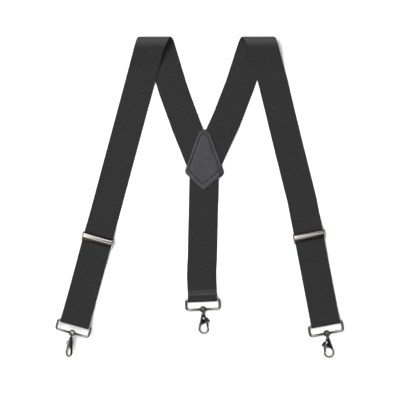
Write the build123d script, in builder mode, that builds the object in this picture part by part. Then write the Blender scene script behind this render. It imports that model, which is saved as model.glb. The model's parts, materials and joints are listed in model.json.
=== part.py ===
"""Wide trouser suspenders (braces) with a Y-shaped back, laid flat with the front straps on top.

Frame: the suspenders lie on the plane Z = 0, +Y runs from the hooks towards the shoulder folds
and +Z points up. The origin is under the middle of the whole layout. All sizes are millimetres.

Every strap is a flat band. Its plan is drawn on XY and its drape, the way it rises over whatever
lies under it, is drawn from the side, and the band is what the two have in common.
"""

import os
from math import asin, cos, radians, sin, tan

from build123d import *

os.makedirs("parts", exist_ok=True)

# ------------------------------------------------------------------ webbing and leather
WEB_W = 50.0
WEB_T = 1.6
WIDEST_X = 300.0
LAYER_GAP = 0.1
PATCH_T = 1.4
THREAD_T = 0.25
THREAD_W = 0.7

FLOOR_MID = WEB_T / 2
SECOND_MID = FLOOR_MID + WEB_T + LAYER_GAP
SEWN_MID = FLOOR_MID + PATCH_T
BEND_R = 300.0
DRAPE_R = 40.0

# ------------------------------------------------------------------ shoulder folds
FOLD_Y = 272.1
FOLD_R = 10.0
FOLD_AXIS_Y = FOLD_Y - FOLD_R
FOLD_MID_R = FOLD_R - WEB_T / 2
FOLD_DROP = 22.0
FOLD_HALF_X = 26.0
CROTCH_Y = 192.0
LANDED_Y = 176.0

# ------------------------------------------------------------------ plan of the straps
PATCH_SPLIT_Y = 43.4
MITRE_X = 8.8
MITRE_GAP = 0.1
LEG_RAMP = (152.0, 120.0)
BACK_RAMP = (8.0, -20.0)
FLAT_LEAD = 45.0

SIDES = {
    "left": {
        "front": [(-82.5, FOLD_AXIS_Y)],
        "back": [(-68.6, FOLD_AXIS_Y), (-44.4, 181.2), (-22.0, 119.8), (8.5, 43.4)],
        "adjuster": (-173.3, -72.6),
        "lean": -15.17,
        "loop": 148.4,
        "bar_z": 8.5,
        "rise": 6.0,
        "ring_shift": 0.0,
        "hook_lean": -8.0,
        "hook_z": 10.87,
        "hook_dip": 4.0,
        "hook_roll": 50.0,
        "gate": -1,
    },
    "right": {
        "front": [(106.4, FOLD_AXIS_Y), (126.3, 191.4), (153.7, 78.8)],
        "back": [(92.3, FOLD_AXIS_Y), (69.6, 191.4), (45.8, 130.0), (5.4, 43.4)],
        "adjuster": (186.4, -66.2),
        "lean": 10.8,
        "loop": 153.2,
        "bar_z": FLOOR_MID + 2.75,
        "rise": 0.0,
        "ring_shift": -1.4,
        "hook_lean": 7.6,
        "hook_z": 2.8,
        "hook_dip": 0.0,
        "hook_roll": 0.0,
        "gate": -1,
    },
}
BACK_TOP = (8.6, 60.0)
BACK_BEND = (4.7, -100.0)
BACK_BAR = (5.4, -175.7)
BACK_LEAN = 2.5
BACK_LEAD = 30.0
BACK_TAIL = 10.8

# ------------------------------------------------------------------ rings and snap hooks
WIRE_D = 3.8
RING_W = 60.9
RING_PITCH = 16.2
RING_TOP_R = 2.2
RING_LOW_R = 4.1
WRAP_R = WIRE_D / 2 + LAYER_GAP / 2 + WEB_T / 2
EYE_R = 5.5
EYE_T = 5.0
WINDOW_R = 2.8
EYE_WALL = (EYE_R + WINDOW_R) / 2
EYE_HOLE_R = 1.7
SHANK_R = 1.2

BOW = (0.8, 32.7)
BOW_R = 9.1
BOW_INNER_R = 6.3
BOW_T = 4.0
CHEEK_T = 4.8
SLOT_T = 2.4
TRIGGER_T = 2.0
PIVOT = (1.5, 15.5)
PIVOT_R = 1.0
PIVOT_HEAD_R = 1.9
PIVOT_HEAD_T = 0.4
RUNNING = 0.05

# ------------------------------------------------------------------ adjusters
FRAME_HALF_X = 25.8
EAR_T = 1.5
NIP_Y = 4.5
NIP_MID = 5.4
SEWN_BAR_Y = -7.0
SEWN_BAR_W = 3.0
SEWN_BAR_T = 1.2
SEWN_WRAP_R = SEWN_BAR_T / 2 + LAYER_GAP / 2 + WEB_T / 2
SEWN_BAR_Z = FLOOR_MID + SEWN_WRAP_R
SEWN_TURN_S = -SEWN_BAR_Y - (SEWN_BAR_W - SEWN_BAR_T) / 2
TAIL_END_S = 29.0
PIN_Z = 8.2
PIN_R = 0.8
BARREL_R = 1.6
LEVER_HALF_X = 25.25
LEVER_T = 1.1


# ------------------------------------------------------------------ places
def down_strap(lean):
    """Unit vector that runs down a strap whose lower end leans to +X by lean degrees."""
    return Vector(sin(radians(lean)), -cos(radians(lean)), 0)


def across(lean):
    """Unit vector across a strap, to the right."""
    return Vector(cos(radians(lean)), sin(radians(lean)), 0)


def along(point, lean, distance):
    """A plan point that lies a distance down the strap from another."""
    step = down_strap(lean) * distance
    return (point[0] + step.X, point[1] + step.Y)


def flat_plane(point, lean, z=0.0):
    """Plane in the strap's own directions: x across it, y up it, z off the floor."""
    return Plane(origin=(*point, z), x_dir=across(lean), z_dir=(0, 0, 1))


def side_plane(point, lean):
    """Upright plane along the strap: x runs down the strap and y is height."""
    down = down_strap(lean)
    return Plane(origin=(*point, 0), x_dir=down, z_dir=down.cross(Vector(0, 0, 1)))


def end_plane(point, lean):
    """Upright plane across the strap's hardware: x runs up the strap and y is height."""
    return Plane(origin=(*point, 0), x_dir=down_strap(lean) * -1, z_dir=across(lean))


def ring_plane(bar, bar_z, lean, shift, hole_z):
    """Plane of a ring: x along its top bar, y from its eye to that bar.

    The ring hangs on its bar and tilts until the middle of its eye's lower wall is at hole_z.
    """
    tilt = asin((hole_z - bar_z) / (RING_PITCH + EYE_WALL))
    away = down_strap(lean) * cos(tilt) + Vector(0, 0, sin(tilt))
    side = across(lean)
    origin = Vector(*bar, bar_z) + side * shift
    return Plane(origin=origin, x_dir=side, z_dir=side.cross(away * -1))


def hook_plane(ring, lean, dip, roll, gate):
    """Plane of a snap hook: x towards its gate, y down its swivel axis.

    The axis passes through the middle of the hole in the ring's eye. A gate of 1 opens on the
    right and -1 on the left, dip turns the bow down and roll turns the gate to the floor.
    """
    axis = down_strap(lean) * cos(radians(dip)) - Vector(0, 0, sin(radians(dip)))
    level = across(lean) * gate
    up = level.cross(axis) if gate < 0 else axis.cross(level)
    up = up if up.Z > 0 else up * -1
    to_gate = level * cos(radians(roll)) - up * sin(radians(roll))
    hole = ring.origin - ring.y_dir * (RING_PITCH + EYE_WALL)
    return Plane(origin=hole - axis * EYE_WALL, x_dir=to_gate, z_dir=to_gate.cross(axis))


# ------------------------------------------------------------------ straps
def plan_band(points, keep_x, keep_y):
    """Plan of a band that follows the points, kept inside the ranges keep_x and keep_y."""
    with BuildSketch() as plan:
        with BuildLine():
            if len(points) > 2:
                FilletPolyline(*points, radius=BEND_R)
            else:
                Line(*points)
        trace(line_width=WEB_W)
        with Locations(((keep_x[0] + keep_x[1]) / 2, (keep_y[0] + keep_y[1]) / 2)):
            Rectangle(keep_x[1] - keep_x[0], keep_y[1] - keep_y[0], mode=Mode.INTERSECT)
    return plan.sketch


def plan_fold(x_layer, x_fold):
    """Plan of half a shoulder fold, where the band climbs slantwise round the roll."""
    half_way = ((x_layer + x_fold) / 2, FOLD_AXIS_Y + FOLD_R * sin(radians(45)))
    with BuildSketch() as plan:
        with BuildLine():
            rise = ThreePointArc(
                (x_layer - FOLD_HALF_X, FOLD_AXIS_Y),
                (half_way[0] - FOLD_HALF_X, half_way[1]),
                (x_fold - FOLD_HALF_X, FOLD_Y),
            )
            fall = ThreePointArc(
                (x_fold + FOLD_HALF_X, FOLD_Y),
                (half_way[0] + FOLD_HALF_X, half_way[1]),
                (x_layer + FOLD_HALF_X, FOLD_AXIS_Y),
            )
            Line(rise @ 1, fall @ 0)
            Line(fall @ 1, rise @ 0)
        make_face()
    return plan.sketch


def draped(plans, drape):
    """The band that has the given plan faces and side view."""
    with BuildPart() as outline:
        for plan in plans:
            extrude(plan, amount=3 * FOLD_R, dir=(0, 0, 1))
    with BuildPart() as band:
        extrude(drape, amount=WIDEST_X, both=True, dir=(1, 0, 0))
        add(outline.part, mode=Mode.INTERSECT)
    return band.part


def front_layer(side):
    """The front strap from the shoulder fold down to the flat just above its adjuster."""
    first, second = side["front"][0], (side["front"] + [side["adjuster"]])[1]
    slope = (second[0] - first[0]) / (first[1] - second[1])
    above = (first[0] - slope * FOLD_R * 2, first[1] + FOLD_R * 2)
    middle = side["front"][1:]
    ends = [along(side["adjuster"], side["lean"], -FLAT_LEAD * k) for k in (1.4, 1.0)]
    points = [above] + middle + (ends if middle else ends[1:])
    plan = plan_band(points, (-400, 400), (-400, FOLD_AXIS_Y))
    fold_x = (side["front"][0][0] + side["back"][0][0]) / 2
    with BuildSketch(Plane.YZ) as drape:
        with BuildLine():
            roll = CenterArc((FOLD_AXIS_Y, FOLD_R), FOLD_MID_R, 0, 90 + FOLD_DROP)
            crest = roll @ 1
            reach = (crest.Y - SECOND_MID) / tan(radians(FOLD_DROP))
            FilletPolyline(
                (crest.X, crest.Y),
                (crest.X - reach, SECOND_MID),
                (CROTCH_Y, SECOND_MID),
                (LANDED_Y, FLOOR_MID),
                (ends[1][1] - WEB_W, FLOOR_MID),
                radius=DRAPE_R,
            )
        trace(line_width=WEB_T)
    return draped([plan, plan_fold(side["front"][0][0], fold_x)], drape.sketch)


def back_leg(side, keep_x):
    """The same strap under the fold and down to the patch, where it is cut to meet the others."""
    first, second = side["back"][:2]
    slope = (first[0] - second[0]) / (first[1] - second[1])
    above = (first[0] + slope * FOLD_R * 2, first[1] + FOLD_R * 2)
    last, before = side["back"][-1], side["back"][-2]
    run_out = (last[0] + (last[0] - before[0]) / 2, last[1] + (last[1] - before[1]) / 2)
    points = [above] + side["back"][1:-1] + [run_out]
    plan = plan_band(points, keep_x, (PATCH_SPLIT_Y + MITRE_GAP / 2, FOLD_AXIS_Y))
    fold_x = (side["front"][0][0] + side["back"][0][0]) / 2
    with BuildSketch(Plane.YZ) as drape:
        with BuildLine():
            CenterArc((FOLD_AXIS_Y, FOLD_R), FOLD_MID_R, 0, -90)
            FilletPolyline(
                (FOLD_AXIS_Y, FLOOR_MID),
                (LEG_RAMP[0], FLOOR_MID),
                (LEG_RAMP[1], SEWN_MID),
                (PATCH_SPLIT_Y - WEB_T, SEWN_MID),
                radius=DRAPE_R,
            )
        trace(line_width=WEB_T)
    return draped([plan, plan_fold(side["back"][0][0], fold_x)], drape.sketch)


def strap_lead(side):
    """The last stretch of the front strap, climbing into its adjuster and ending at the nip."""
    with BuildPart() as lead:
        with BuildSketch(side_plane(side["adjuster"], side["lean"])):
            with BuildLine():
                FilletPolyline(
                    (-FLAT_LEAD, FLOOR_MID),
                    (-FLAT_LEAD + 8, FLOOR_MID),
                    (-NIP_Y - 6, NIP_MID),
                    (-NIP_Y, NIP_MID),
                    radius=DRAPE_R,
                )
            trace(line_width=WEB_T)
        extrude(amount=WEB_W / 2, both=True)
    return lead.part


def shoulder_strap(side, keep_x):
    """One strap from its adjuster over the shoulder fold to the patch, as a single piece."""
    with BuildPart() as strap:
        add(front_layer(side))
        add(back_leg(side, keep_x))
        add(strap_lead(side))
    return strap.part


def strap_loop(side):
    """The doubled lower end: from the nip down and round the ring's bar, and back under itself
    to the adjuster's sewn bar, where the tail turns over the bar and is sewn down."""
    rise = radians(side["rise"])
    length, bar_z = side["loop"], side["bar_z"]

    def from_bar(back, off):
        """A point so far back up the strap from the bar and so far off the line through it."""
        return (
            length - back * cos(rise) - off * sin(rise),
            bar_z - back * sin(rise) + off * cos(rise),
        )

    on_top = SECOND_MID - FLOOR_MID - WRAP_R
    top_run = [(-NIP_Y, NIP_MID), (10, NIP_MID), (30, 4.3), (46, SECOND_MID)]
    low_run = []
    if rise:
        top_run.append(from_bar((bar_z + on_top * cos(rise) - SECOND_MID) / sin(rise), on_top))
        low_run.append(from_bar((bar_z - WRAP_R * cos(rise) - FLOOR_MID) / sin(rise), -WRAP_R))
    top_run += [from_bar(24, on_top), from_bar(5, WRAP_R), from_bar(0, WRAP_R)]
    with BuildPart() as loop:
        with BuildSketch(side_plane(side["adjuster"], side["lean"])):
            with BuildLine():
                FilletPolyline(*top_run, radius=DRAPE_R)
                ThreePointArc(from_bar(0, WRAP_R), from_bar(-WRAP_R, 0), from_bar(0, -WRAP_R))
                if low_run:
                    FilletPolyline(
                        from_bar(0, -WRAP_R),
                        *low_run,
                        (SEWN_TURN_S, FLOOR_MID),
                        radius=DRAPE_R,
                    )
                else:
                    Line(from_bar(0, -WRAP_R), (SEWN_TURN_S, FLOOR_MID))
                CenterArc((SEWN_TURN_S, SEWN_BAR_Z), SEWN_WRAP_R, -90, -180)
                FilletPolyline(
                    (SEWN_TURN_S, SEWN_BAR_Z + SEWN_WRAP_R),
                    (SEWN_TURN_S + 3, SEWN_BAR_Z + SEWN_WRAP_R),
                    (15, SECOND_MID),
                    (TAIL_END_S, SECOND_MID),
                    radius=DRAPE_R / 4,
                )
            trace(line_width=WEB_T)
        extrude(amount=WEB_W / 2, both=True)
    return loop.part


def loop_stitching(side):
    """The box of thread, crossed corner to corner, that holds the tail of the loop."""
    box_w, box_h = WEB_W - 8, 9.0
    middle_s = TAIL_END_S - 2 - box_h / 2
    place = flat_plane(side["adjuster"], side["lean"], SECOND_MID + WEB_T / 2)
    corner = (box_w / 2 - THREAD_W / 2, box_h / 2 - THREAD_W / 2)
    with BuildPart() as stitching:
        with BuildSketch(place):
            with Locations((0, -middle_s)):
                Rectangle(box_w, box_h)
                Rectangle(box_w - 2 * THREAD_W, box_h - 2 * THREAD_W, mode=Mode.SUBTRACT)
            for turn in (-1, 1):
                with BuildLine():
                    Line(
                        (-corner[0], -middle_s - turn * corner[1]),
                        (corner[0], -middle_s + turn * corner[1]),
                    )
                trace(line_width=THREAD_W)
        extrude(amount=THREAD_T)
    return stitching.part


# ------------------------------------------------------------------ patch
def patch_outline(inset):
    """Sketch of the kite patch, or of a line inside its edge."""
    corners = {(8.8, 137.0): 11.4, (43.3, 39.4): 9.0, (7.5, 10.4): 6.0, (-25.8, 41.5): 8.0}
    with BuildSketch() as outline:
        with BuildLine():
            Polyline(*corners, close=True)
        make_face()
        for corner, radius in corners.items():
            nearest = outline.vertices().sort_by_distance((*corner, 0))[0]
            fillet(nearest, radius=radius)
        if inset:
            offset(amount=-inset, mode=Mode.REPLACE)
    return outline.sketch


# ------------------------------------------------------------------ rings and hooks
def square_ring(at):
    """A wire ring with squarish upper corners and a round eye in its lower bar."""
    half_w = (RING_W - WIRE_D) / 2
    with BuildPart() as ring:
        with BuildLine(at) as half:
            FilletPolyline(
                (0, 0), (half_w, 0), (half_w, -RING_PITCH), (0, -RING_PITCH),
                radius=[RING_TOP_R, RING_LOW_R],
            )
        with BuildSketch(Plane(origin=half.line @ 0, z_dir=half.line % 0)):
            Circle(WIRE_D / 2)
        sweep()
        mirror(about=Plane(origin=at.origin, z_dir=at.x_dir))
        with BuildSketch(at.offset(-EYE_T / 2)):
            with Locations((0, -RING_PITCH)):
                Circle(EYE_R)
        extrude(amount=EYE_T)
        with BuildSketch(at.offset(-EYE_T / 2)):
            with Locations((0, -RING_PITCH)):
                Circle(WINDOW_R)
        extrude(amount=EYE_T, mode=Mode.SUBTRACT)
        hole_start = at.origin - at.y_dir * RING_PITCH
        with BuildSketch(Plane(origin=hole_start, x_dir=at.x_dir, z_dir=at.y_dir * -1)):
            Circle(EYE_HOLE_R)
        extrude(amount=EYE_R + 1, mode=Mode.SUBTRACT)
    return ring.part


def hook_body(at):
    """The cast body of a snap hook: a neck, two cheeks with a slot between them, and the bow."""
    swivel = Axis(at.origin, at.y_dir)
    with BuildPart() as body:
        with BuildSketch(at.offset(-BOW_T / 2)):
            with BuildLine():
                Polyline(
                    (BOW[0] - BOW_R, BOW[1]), (-2.6, 7.0), (2.6, 7.0), (5.6, 21.0), (5.2, 22.8),
                    (-4.6, 27.2), (BOW[0] - BOW_INNER_R, BOW[1]),
                )
                ThreePointArc(
                    (BOW[0] - BOW_INNER_R, BOW[1]),
                    (BOW[0], BOW[1] + BOW_INNER_R),
                    (BOW[0] + BOW_INNER_R, BOW[1]),
                )
                Line((BOW[0] + BOW_INNER_R, BOW[1]), (BOW[0] + BOW_R, BOW[1]))
                ThreePointArc(
                    (BOW[0] + BOW_R, BOW[1]),
                    (BOW[0], BOW[1] + BOW_R),
                    (BOW[0] - BOW_R, BOW[1]),
                )
            make_face()
        extrude(amount=BOW_T)
        with BuildSketch(at.offset(-CHEEK_T / 2)):
            with BuildLine():
                Polyline(
                    (-2.6, 7.0), (2.6, 7.0), (5.6, 21.0), (5.2, 22.8), (-4.6, 27.2), (-6.9, 26.4),
                    close=True,
                )
            make_face()
        extrude(amount=CHEEK_T)
        with BuildSketch(at):
            with BuildLine():
                Polyline((0, 6.2), (1.6, 6.2), (2.5, 7.4), (2.5, 9.6), (0, 9.6), close=True)
            make_face()
        revolve(axis=swivel)
        with BuildSketch(at.offset(-SLOT_T / 2)):
            with BuildLine():
                Polyline(
                    (-2.9, 12.0), (14, 12.0), (14, 30), (-3.4, 30), (-3.4, 20),
                    close=True,
                )
            make_face()
        extrude(amount=SLOT_T, mode=Mode.SUBTRACT)
        with BuildSketch(at.offset(-CHEEK_T)):
            with Locations(PIVOT):
                Circle(PIVOT_R)
        extrude(amount=2 * CHEEK_T, mode=Mode.SUBTRACT)
        with BuildSketch(Plane(origin=at.origin, z_dir=at.y_dir)):
            Circle(SHANK_R + RUNNING)
        extrude(amount=9.0, mode=Mode.SUBTRACT)
    return body.part


def swivel_rivet(at):
    """The headed rivet that hangs the hook in the ring's eye and lets it turn."""
    with BuildPart() as rivet:
        with BuildSketch(at):
            with BuildLine():
                Polyline(
                    (0, -1.7), (1.0, -1.6), (1.9, -0.8), (1.9, 1.1), (SHANK_R, 1.5),
                    (SHANK_R, 8.6), (0, 8.6),
                    close=True,
                )
            make_face()
        revolve(axis=Axis(at.origin, at.y_dir))
    return rivet.part


def trigger(at):
    """The lever between the cheeks: its hub, the thumb spur outside and the gate arm."""
    with BuildPart() as lever:
        with BuildSketch(at.offset(-TRIGGER_T / 2)):
            with BuildLine():
                Polyline(
                    (-1.3, 17.0), (4.9, 22.4), (6.1, 31.6), (8.9, 32.1), (8.4, 22.6), (12.0, 19.2),
                    (7.6, 14.4), (3.2, 12.9), (1.5, 12.6),
                    close=True,
                )
            make_face()
            with Locations(PIVOT):
                Circle(2.9)
                Circle(PIVOT_R + RUNNING, mode=Mode.SUBTRACT)
        extrude(amount=TRIGGER_T)
    return lever.part


def trigger_pin(at):
    """The rivet through the cheeks that the trigger turns on, with a low head on each face."""
    with BuildPart() as pin:
        with BuildSketch(at.offset(-CHEEK_T / 2)):
            with Locations(PIVOT):
                Circle(PIVOT_R)
        extrude(amount=CHEEK_T)
        for face in (-CHEEK_T / 2 - PIVOT_HEAD_T, CHEEK_T / 2):
            with BuildSketch(at.offset(face)):
                with Locations(PIVOT):
                    Circle(PIVOT_HEAD_R)
            extrude(amount=PIVOT_HEAD_T)
    return pin.part


def trigger_spring(at):
    """The bent leaf spring behind the trigger that pushes the gate shut."""
    leaf_t, leaf_w = 0.3, 1.8
    with BuildPart() as spring:
        with BuildSketch(at.offset(-leaf_w / 2)):
            with BuildLine():
                FilletPolyline((-2.5, 12.3), (-2.7, 17.8), (0.4, 20.0), radius=1.0)
            trace(line_width=leaf_t)
        extrude(amount=leaf_w)
    return spring.part


# ------------------------------------------------------------------ adjusters
def adjuster_frame(side):
    """The stamped frame: two ears joined by the anvil under the strap and by the sewn bar."""
    place = end_plane(side["adjuster"], side["lean"])
    with BuildPart() as frame:
        for inner in (-FRAME_HALF_X - EAR_T, FRAME_HALF_X):
            with BuildSketch(place.offset(inner)):
                with BuildLine():
                    Polyline(
                        (-9.5, 1.0), (-9.5, 4.4), (-6.0, 5.2), (2.4, 9.4), (6.9, 8.4), (7.4, 2.4),
                        (5.8, 1.0),
                        close=True,
                    )
                make_face()
                with Locations((NIP_Y, PIN_Z)):
                    Circle(2.5)
                    Circle(PIN_R, mode=Mode.SUBTRACT)
            extrude(amount=EAR_T)
        with BuildSketch(place.offset(-FRAME_HALF_X)):
            with Locations((NIP_Y, NIP_MID - WEB_T / 2 - LAYER_GAP - 0.7)):
                Rectangle(4.0, 1.4)
            with Locations((SEWN_BAR_Y, SEWN_BAR_Z)):
                SlotOverall(SEWN_BAR_W, SEWN_BAR_T)
        extrude(amount=2 * FRAME_HALF_X)
    return frame.part


def adjuster_lever(side):
    """The cam lever: a toothed barrel on the pin and the convex plate that closes over the strap."""
    place = end_plane(side["adjuster"], side["lean"])
    teeth, tooth_w, tooth_pitch = 12, 2.0, 4.0
    with BuildPart() as lever:
        with BuildSketch(place.offset(-LEVER_HALF_X)):
            with BuildLine():
                plate = ThreePointArc((6.0, 9.0), (0.8, 10.3), (-6.3, 9.0))
            trace(line_width=LEVER_T)
            with Locations(plate @ 1):
                Circle(0.75)
            with Locations((NIP_Y, PIN_Z)):
                Circle(BARREL_R)
        extrude(amount=2 * LEVER_HALF_X)
        first = -(teeth - 1) * tooth_pitch / 2
        for n in range(teeth):
            with BuildSketch(place.offset(first + n * tooth_pitch - tooth_w / 2)):
                with Locations((NIP_Y, PIN_Z - 1.25)):
                    Rectangle(0.9, 1.1)
            extrude(amount=tooth_w)
        with BuildSketch(place.offset(-LEVER_HALF_X)):
            with Locations((NIP_Y, PIN_Z)):
                Circle(PIN_R + RUNNING)
        extrude(amount=2 * LEVER_HALF_X, mode=Mode.SUBTRACT)
    return lever.part


def adjuster_pin(side):
    """The hinge pin of the lever, headed outside both ears."""
    place = end_plane(side["adjuster"], side["lean"])
    head_t, ears = 0.5, FRAME_HALF_X + EAR_T
    with BuildPart() as pin:
        for start, radius, length in (
            (-ears, PIN_R, 2 * ears),
            (-ears - head_t, 1.3, head_t),
            (ears, 1.3, head_t),
        ):
            with BuildSketch(place.offset(start)):
                with Locations((NIP_Y, PIN_Z)):
                    Circle(radius)
            extrude(amount=length)
    return pin.part


# ------------------------------------------------------------------ the back strap
def back_drape():
    """The back strap from the patch down to the flat above its ring."""
    start = along(BACK_BAR, BACK_LEAN, -BACK_LEAD)
    bend = along(BACK_BAR, BACK_LEAN, -BACK_LEAD * 1.6)
    plan = plan_band(
        [BACK_TOP, BACK_BEND, bend, start], (-400, 400), (-400, PATCH_SPLIT_Y - MITRE_GAP / 2)
    )
    with BuildSketch(Plane.YZ) as drape:
        with BuildLine():
            FilletPolyline(
                (PATCH_SPLIT_Y + WEB_T, SEWN_MID),
                (BACK_RAMP[0], SEWN_MID),
                (BACK_RAMP[1], FLOOR_MID),
                (start[1] - WEB_W, FLOOR_MID),
                radius=DRAPE_R,
            )
        trace(line_width=WEB_T)
    return draped([plan], drape.sketch)


def back_turn():
    """Its lower end: round the ring's bar, with the cut tail folded on top."""
    bar_z = FLOOR_MID + WRAP_R
    with BuildPart() as turn:
        with BuildSketch(side_plane(BACK_BAR, BACK_LEAN)):
            with BuildLine():
                Line((-BACK_LEAD, FLOOR_MID), (0, FLOOR_MID))
                CenterArc((0, bar_z), WRAP_R, -90, 180)
                FilletPolyline(
                    (0, bar_z + WRAP_R),
                    (-2.0, bar_z + WRAP_R),
                    (-8.2, SECOND_MID),
                    (-BACK_TAIL, SECOND_MID),
                    radius=2.5,
                )
            trace(line_width=WEB_T)
        extrude(amount=WEB_W / 2, both=True)
    return turn.part


# ------------------------------------------------------------------ the pieces
def export_piece(piece, label):
    """Label a finished piece and write it to its own file."""
    piece.label = label
    export_step(piece, f"parts/{label}.step")


RINGS = {}
for name, side in SIDES.items():
    bar = along(side["adjuster"], side["lean"], side["loop"])
    RINGS[name] = ring_plane(bar, side["bar_z"], side["lean"], side["ring_shift"], side["hook_z"])
RINGS["back"] = ring_plane(BACK_BAR, FLOOR_MID + WRAP_R, BACK_LEAN, 0.0, 2.8)

HOOKS = {"back": hook_plane(RINGS["back"], 0.0, 0.0, 0.0, 1)}
for name, side in SIDES.items():
    HOOKS[name] = hook_plane(
        RINGS[name], side["hook_lean"], side["hook_dip"], side["hook_roll"], side["gate"]
    )

KEEP_X = {"left": (-400, MITRE_X - MITRE_GAP / 2), "right": (MITRE_X + MITRE_GAP / 2, 400)}
for name, side in SIDES.items():
    export_piece(shoulder_strap(side, KEEP_X[name]), f"{name}_strap")
    export_piece(strap_loop(side), f"{name}_loop")
    export_piece(loop_stitching(side), f"{name}_loop_stitches")
    export_piece(adjuster_frame(side), f"{name}_adjuster_frame")
    export_piece(adjuster_lever(side), f"{name}_adjuster_lever")
    export_piece(adjuster_pin(side), f"{name}_adjuster_pin")

for name in RINGS:
    export_piece(square_ring(RINGS[name]), f"{name}_ring")
    export_piece(hook_body(HOOKS[name]), f"{name}_hook_body")
    export_piece(swivel_rivet(HOOKS[name]), f"{name}_swivel_rivet")
    export_piece(trigger(HOOKS[name]), f"{name}_trigger")
    export_piece(trigger_pin(HOOKS[name]), f"{name}_trigger_pin")
    export_piece(trigger_spring(HOOKS[name]), f"{name}_trigger_spring")

with BuildPart() as back_strap:
    add(back_drape())
    add(back_turn())
export_piece(back_strap.part, "back_strap")

with BuildPart() as back_hem_stitches:
    with BuildSketch(flat_plane(BACK_BAR, BACK_LEAN, SECOND_MID + WEB_T / 2)):
        with Locations((0, BACK_TAIL - 1.2)):
            Rectangle(WEB_W - 4, THREAD_W)
    extrude(amount=THREAD_T)
export_piece(back_hem_stitches.part, "back_hem_stitches")

with BuildPart() as patch_outer:
    extrude(patch_outline(0), amount=PATCH_T, dir=(0, 0, 1))
export_piece(patch_outer.part, "patch_outer")

GROOVE_INSET, GROOVE_D = 5.5, 0.4
PATCH_TOP = SEWN_MID + WEB_T / 2 + PATCH_T
with BuildPart() as groove:
    with BuildSketch(Plane.XY.offset(PATCH_TOP - GROOVE_D)):
        add(patch_outline(GROOVE_INSET - THREAD_W / 2))
        add(patch_outline(GROOVE_INSET + THREAD_W / 2), mode=Mode.SUBTRACT)
    extrude(amount=GROOVE_D)

with BuildPart() as patch_inner:
    with BuildSketch(Plane.XY.offset(PATCH_TOP - PATCH_T)):
        add(patch_outline(0))
    extrude(amount=PATCH_T)
    add(groove.part, mode=Mode.SUBTRACT)
export_piece(patch_inner.part, "patch_inner")
export_piece(groove.part, "patch_stitches")
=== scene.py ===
# %% [markdown]
# # Wide Y-back suspenders, laid flat
# This is a lesson in building a whole soft-and-hard product in Blender. The object is a pair of wide
# trouser suspenders: two elastic straps that fold over at the shoulders, a kite-shaped leather patch
# where they meet, one back strap, two cam-lever adjusters, three wire rings and three snap hooks.
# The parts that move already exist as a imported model, the frame. Everything here is built around it,
# in metres, in the frame's own axes: +Y runs up the straps, +Z is off the table.

# %% Load the frame
import json
from math import ceil, cos, pi, radians, sin, tan

import bmesh
import bpy
import numpy as np
from mathutils import Matrix, Vector


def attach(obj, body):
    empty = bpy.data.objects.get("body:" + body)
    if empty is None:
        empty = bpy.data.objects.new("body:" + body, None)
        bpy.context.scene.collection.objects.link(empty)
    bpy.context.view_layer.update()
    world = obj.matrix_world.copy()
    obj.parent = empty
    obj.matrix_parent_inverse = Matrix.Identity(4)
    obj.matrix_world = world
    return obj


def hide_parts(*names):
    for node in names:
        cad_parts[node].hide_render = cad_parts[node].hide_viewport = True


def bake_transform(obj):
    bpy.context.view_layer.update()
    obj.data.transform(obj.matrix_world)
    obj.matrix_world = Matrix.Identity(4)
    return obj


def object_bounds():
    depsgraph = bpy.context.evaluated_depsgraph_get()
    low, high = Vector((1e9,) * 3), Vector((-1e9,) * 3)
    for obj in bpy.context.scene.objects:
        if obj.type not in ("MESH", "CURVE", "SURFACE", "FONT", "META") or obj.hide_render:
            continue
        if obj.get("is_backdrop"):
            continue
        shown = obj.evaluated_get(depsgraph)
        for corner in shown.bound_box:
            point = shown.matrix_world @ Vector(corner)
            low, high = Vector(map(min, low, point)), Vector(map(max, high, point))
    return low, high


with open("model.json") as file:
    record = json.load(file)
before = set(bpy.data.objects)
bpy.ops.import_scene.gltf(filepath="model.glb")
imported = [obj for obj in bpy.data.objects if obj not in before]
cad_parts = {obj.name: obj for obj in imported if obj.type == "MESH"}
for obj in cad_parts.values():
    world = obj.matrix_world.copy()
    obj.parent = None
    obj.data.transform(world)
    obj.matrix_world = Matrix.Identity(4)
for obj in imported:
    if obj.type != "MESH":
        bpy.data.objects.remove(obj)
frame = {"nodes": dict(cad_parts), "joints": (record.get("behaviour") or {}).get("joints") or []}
cad_low, cad_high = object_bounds()
MM = 0.001
print("frame", [round(x / MM) for x in cad_high - cad_low], "mm,", len(frame["nodes"]), "nodes")

# %% [markdown]
# ## Sizes
# The webbing is 50 mm wide and 1.6 mm thick. Its middle lies 0.8 mm off the table, 2.5 mm where it
# lies on another layer, and 2.2 mm where it is sewn between the two leathers of the patch. These
# few numbers drive every strap.

# %% Sizes of the webbing and the leather
WEB_W = 50 * MM
WEB_T = 1.6 * MM
LAYER_GAP = 0.1 * MM
LEATHER_T = 1.4 * MM
FLOOR_MID = WEB_T / 2
SECOND_MID = FLOOR_MID + WEB_T + LAYER_GAP
SEWN_MID = FLOOR_MID + LEATHER_T
BEND_R = 300 * MM
DRAPE_R = 40 * MM


def mm(*points):
    """Points given in millimetres, as vectors in metres."""
    return [Vector(point) * MM for point in points]


# %% [markdown]
# ## Reading places from the frame
# Hinges and slides carry a point and a direction. Together they say where every ring, hook and
# adjuster is and which way it faces, so no piece of hardware needs a place typed in by hand.

# %% Planes of the rings, hooks and adjusters
joints = {joint["name"]: joint for joint in frame["joints"]}


def direction_of(name):
    """The direction of a joint of the frame."""
    return Vector(joints[name]["axis"]).normalized()


def point_of(name):
    """The point of a hinge of the frame."""
    return Vector(joints[name]["pos_m"])


def placed(origin, x_dir, y_dir):
    """The matrix that puts a piece drawn on the XY plane where those directions say."""
    turned = Matrix((x_dir, y_dir, x_dir.cross(y_dir))).transposed().to_4x4()
    return Matrix.Translation(origin) @ turned


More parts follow.
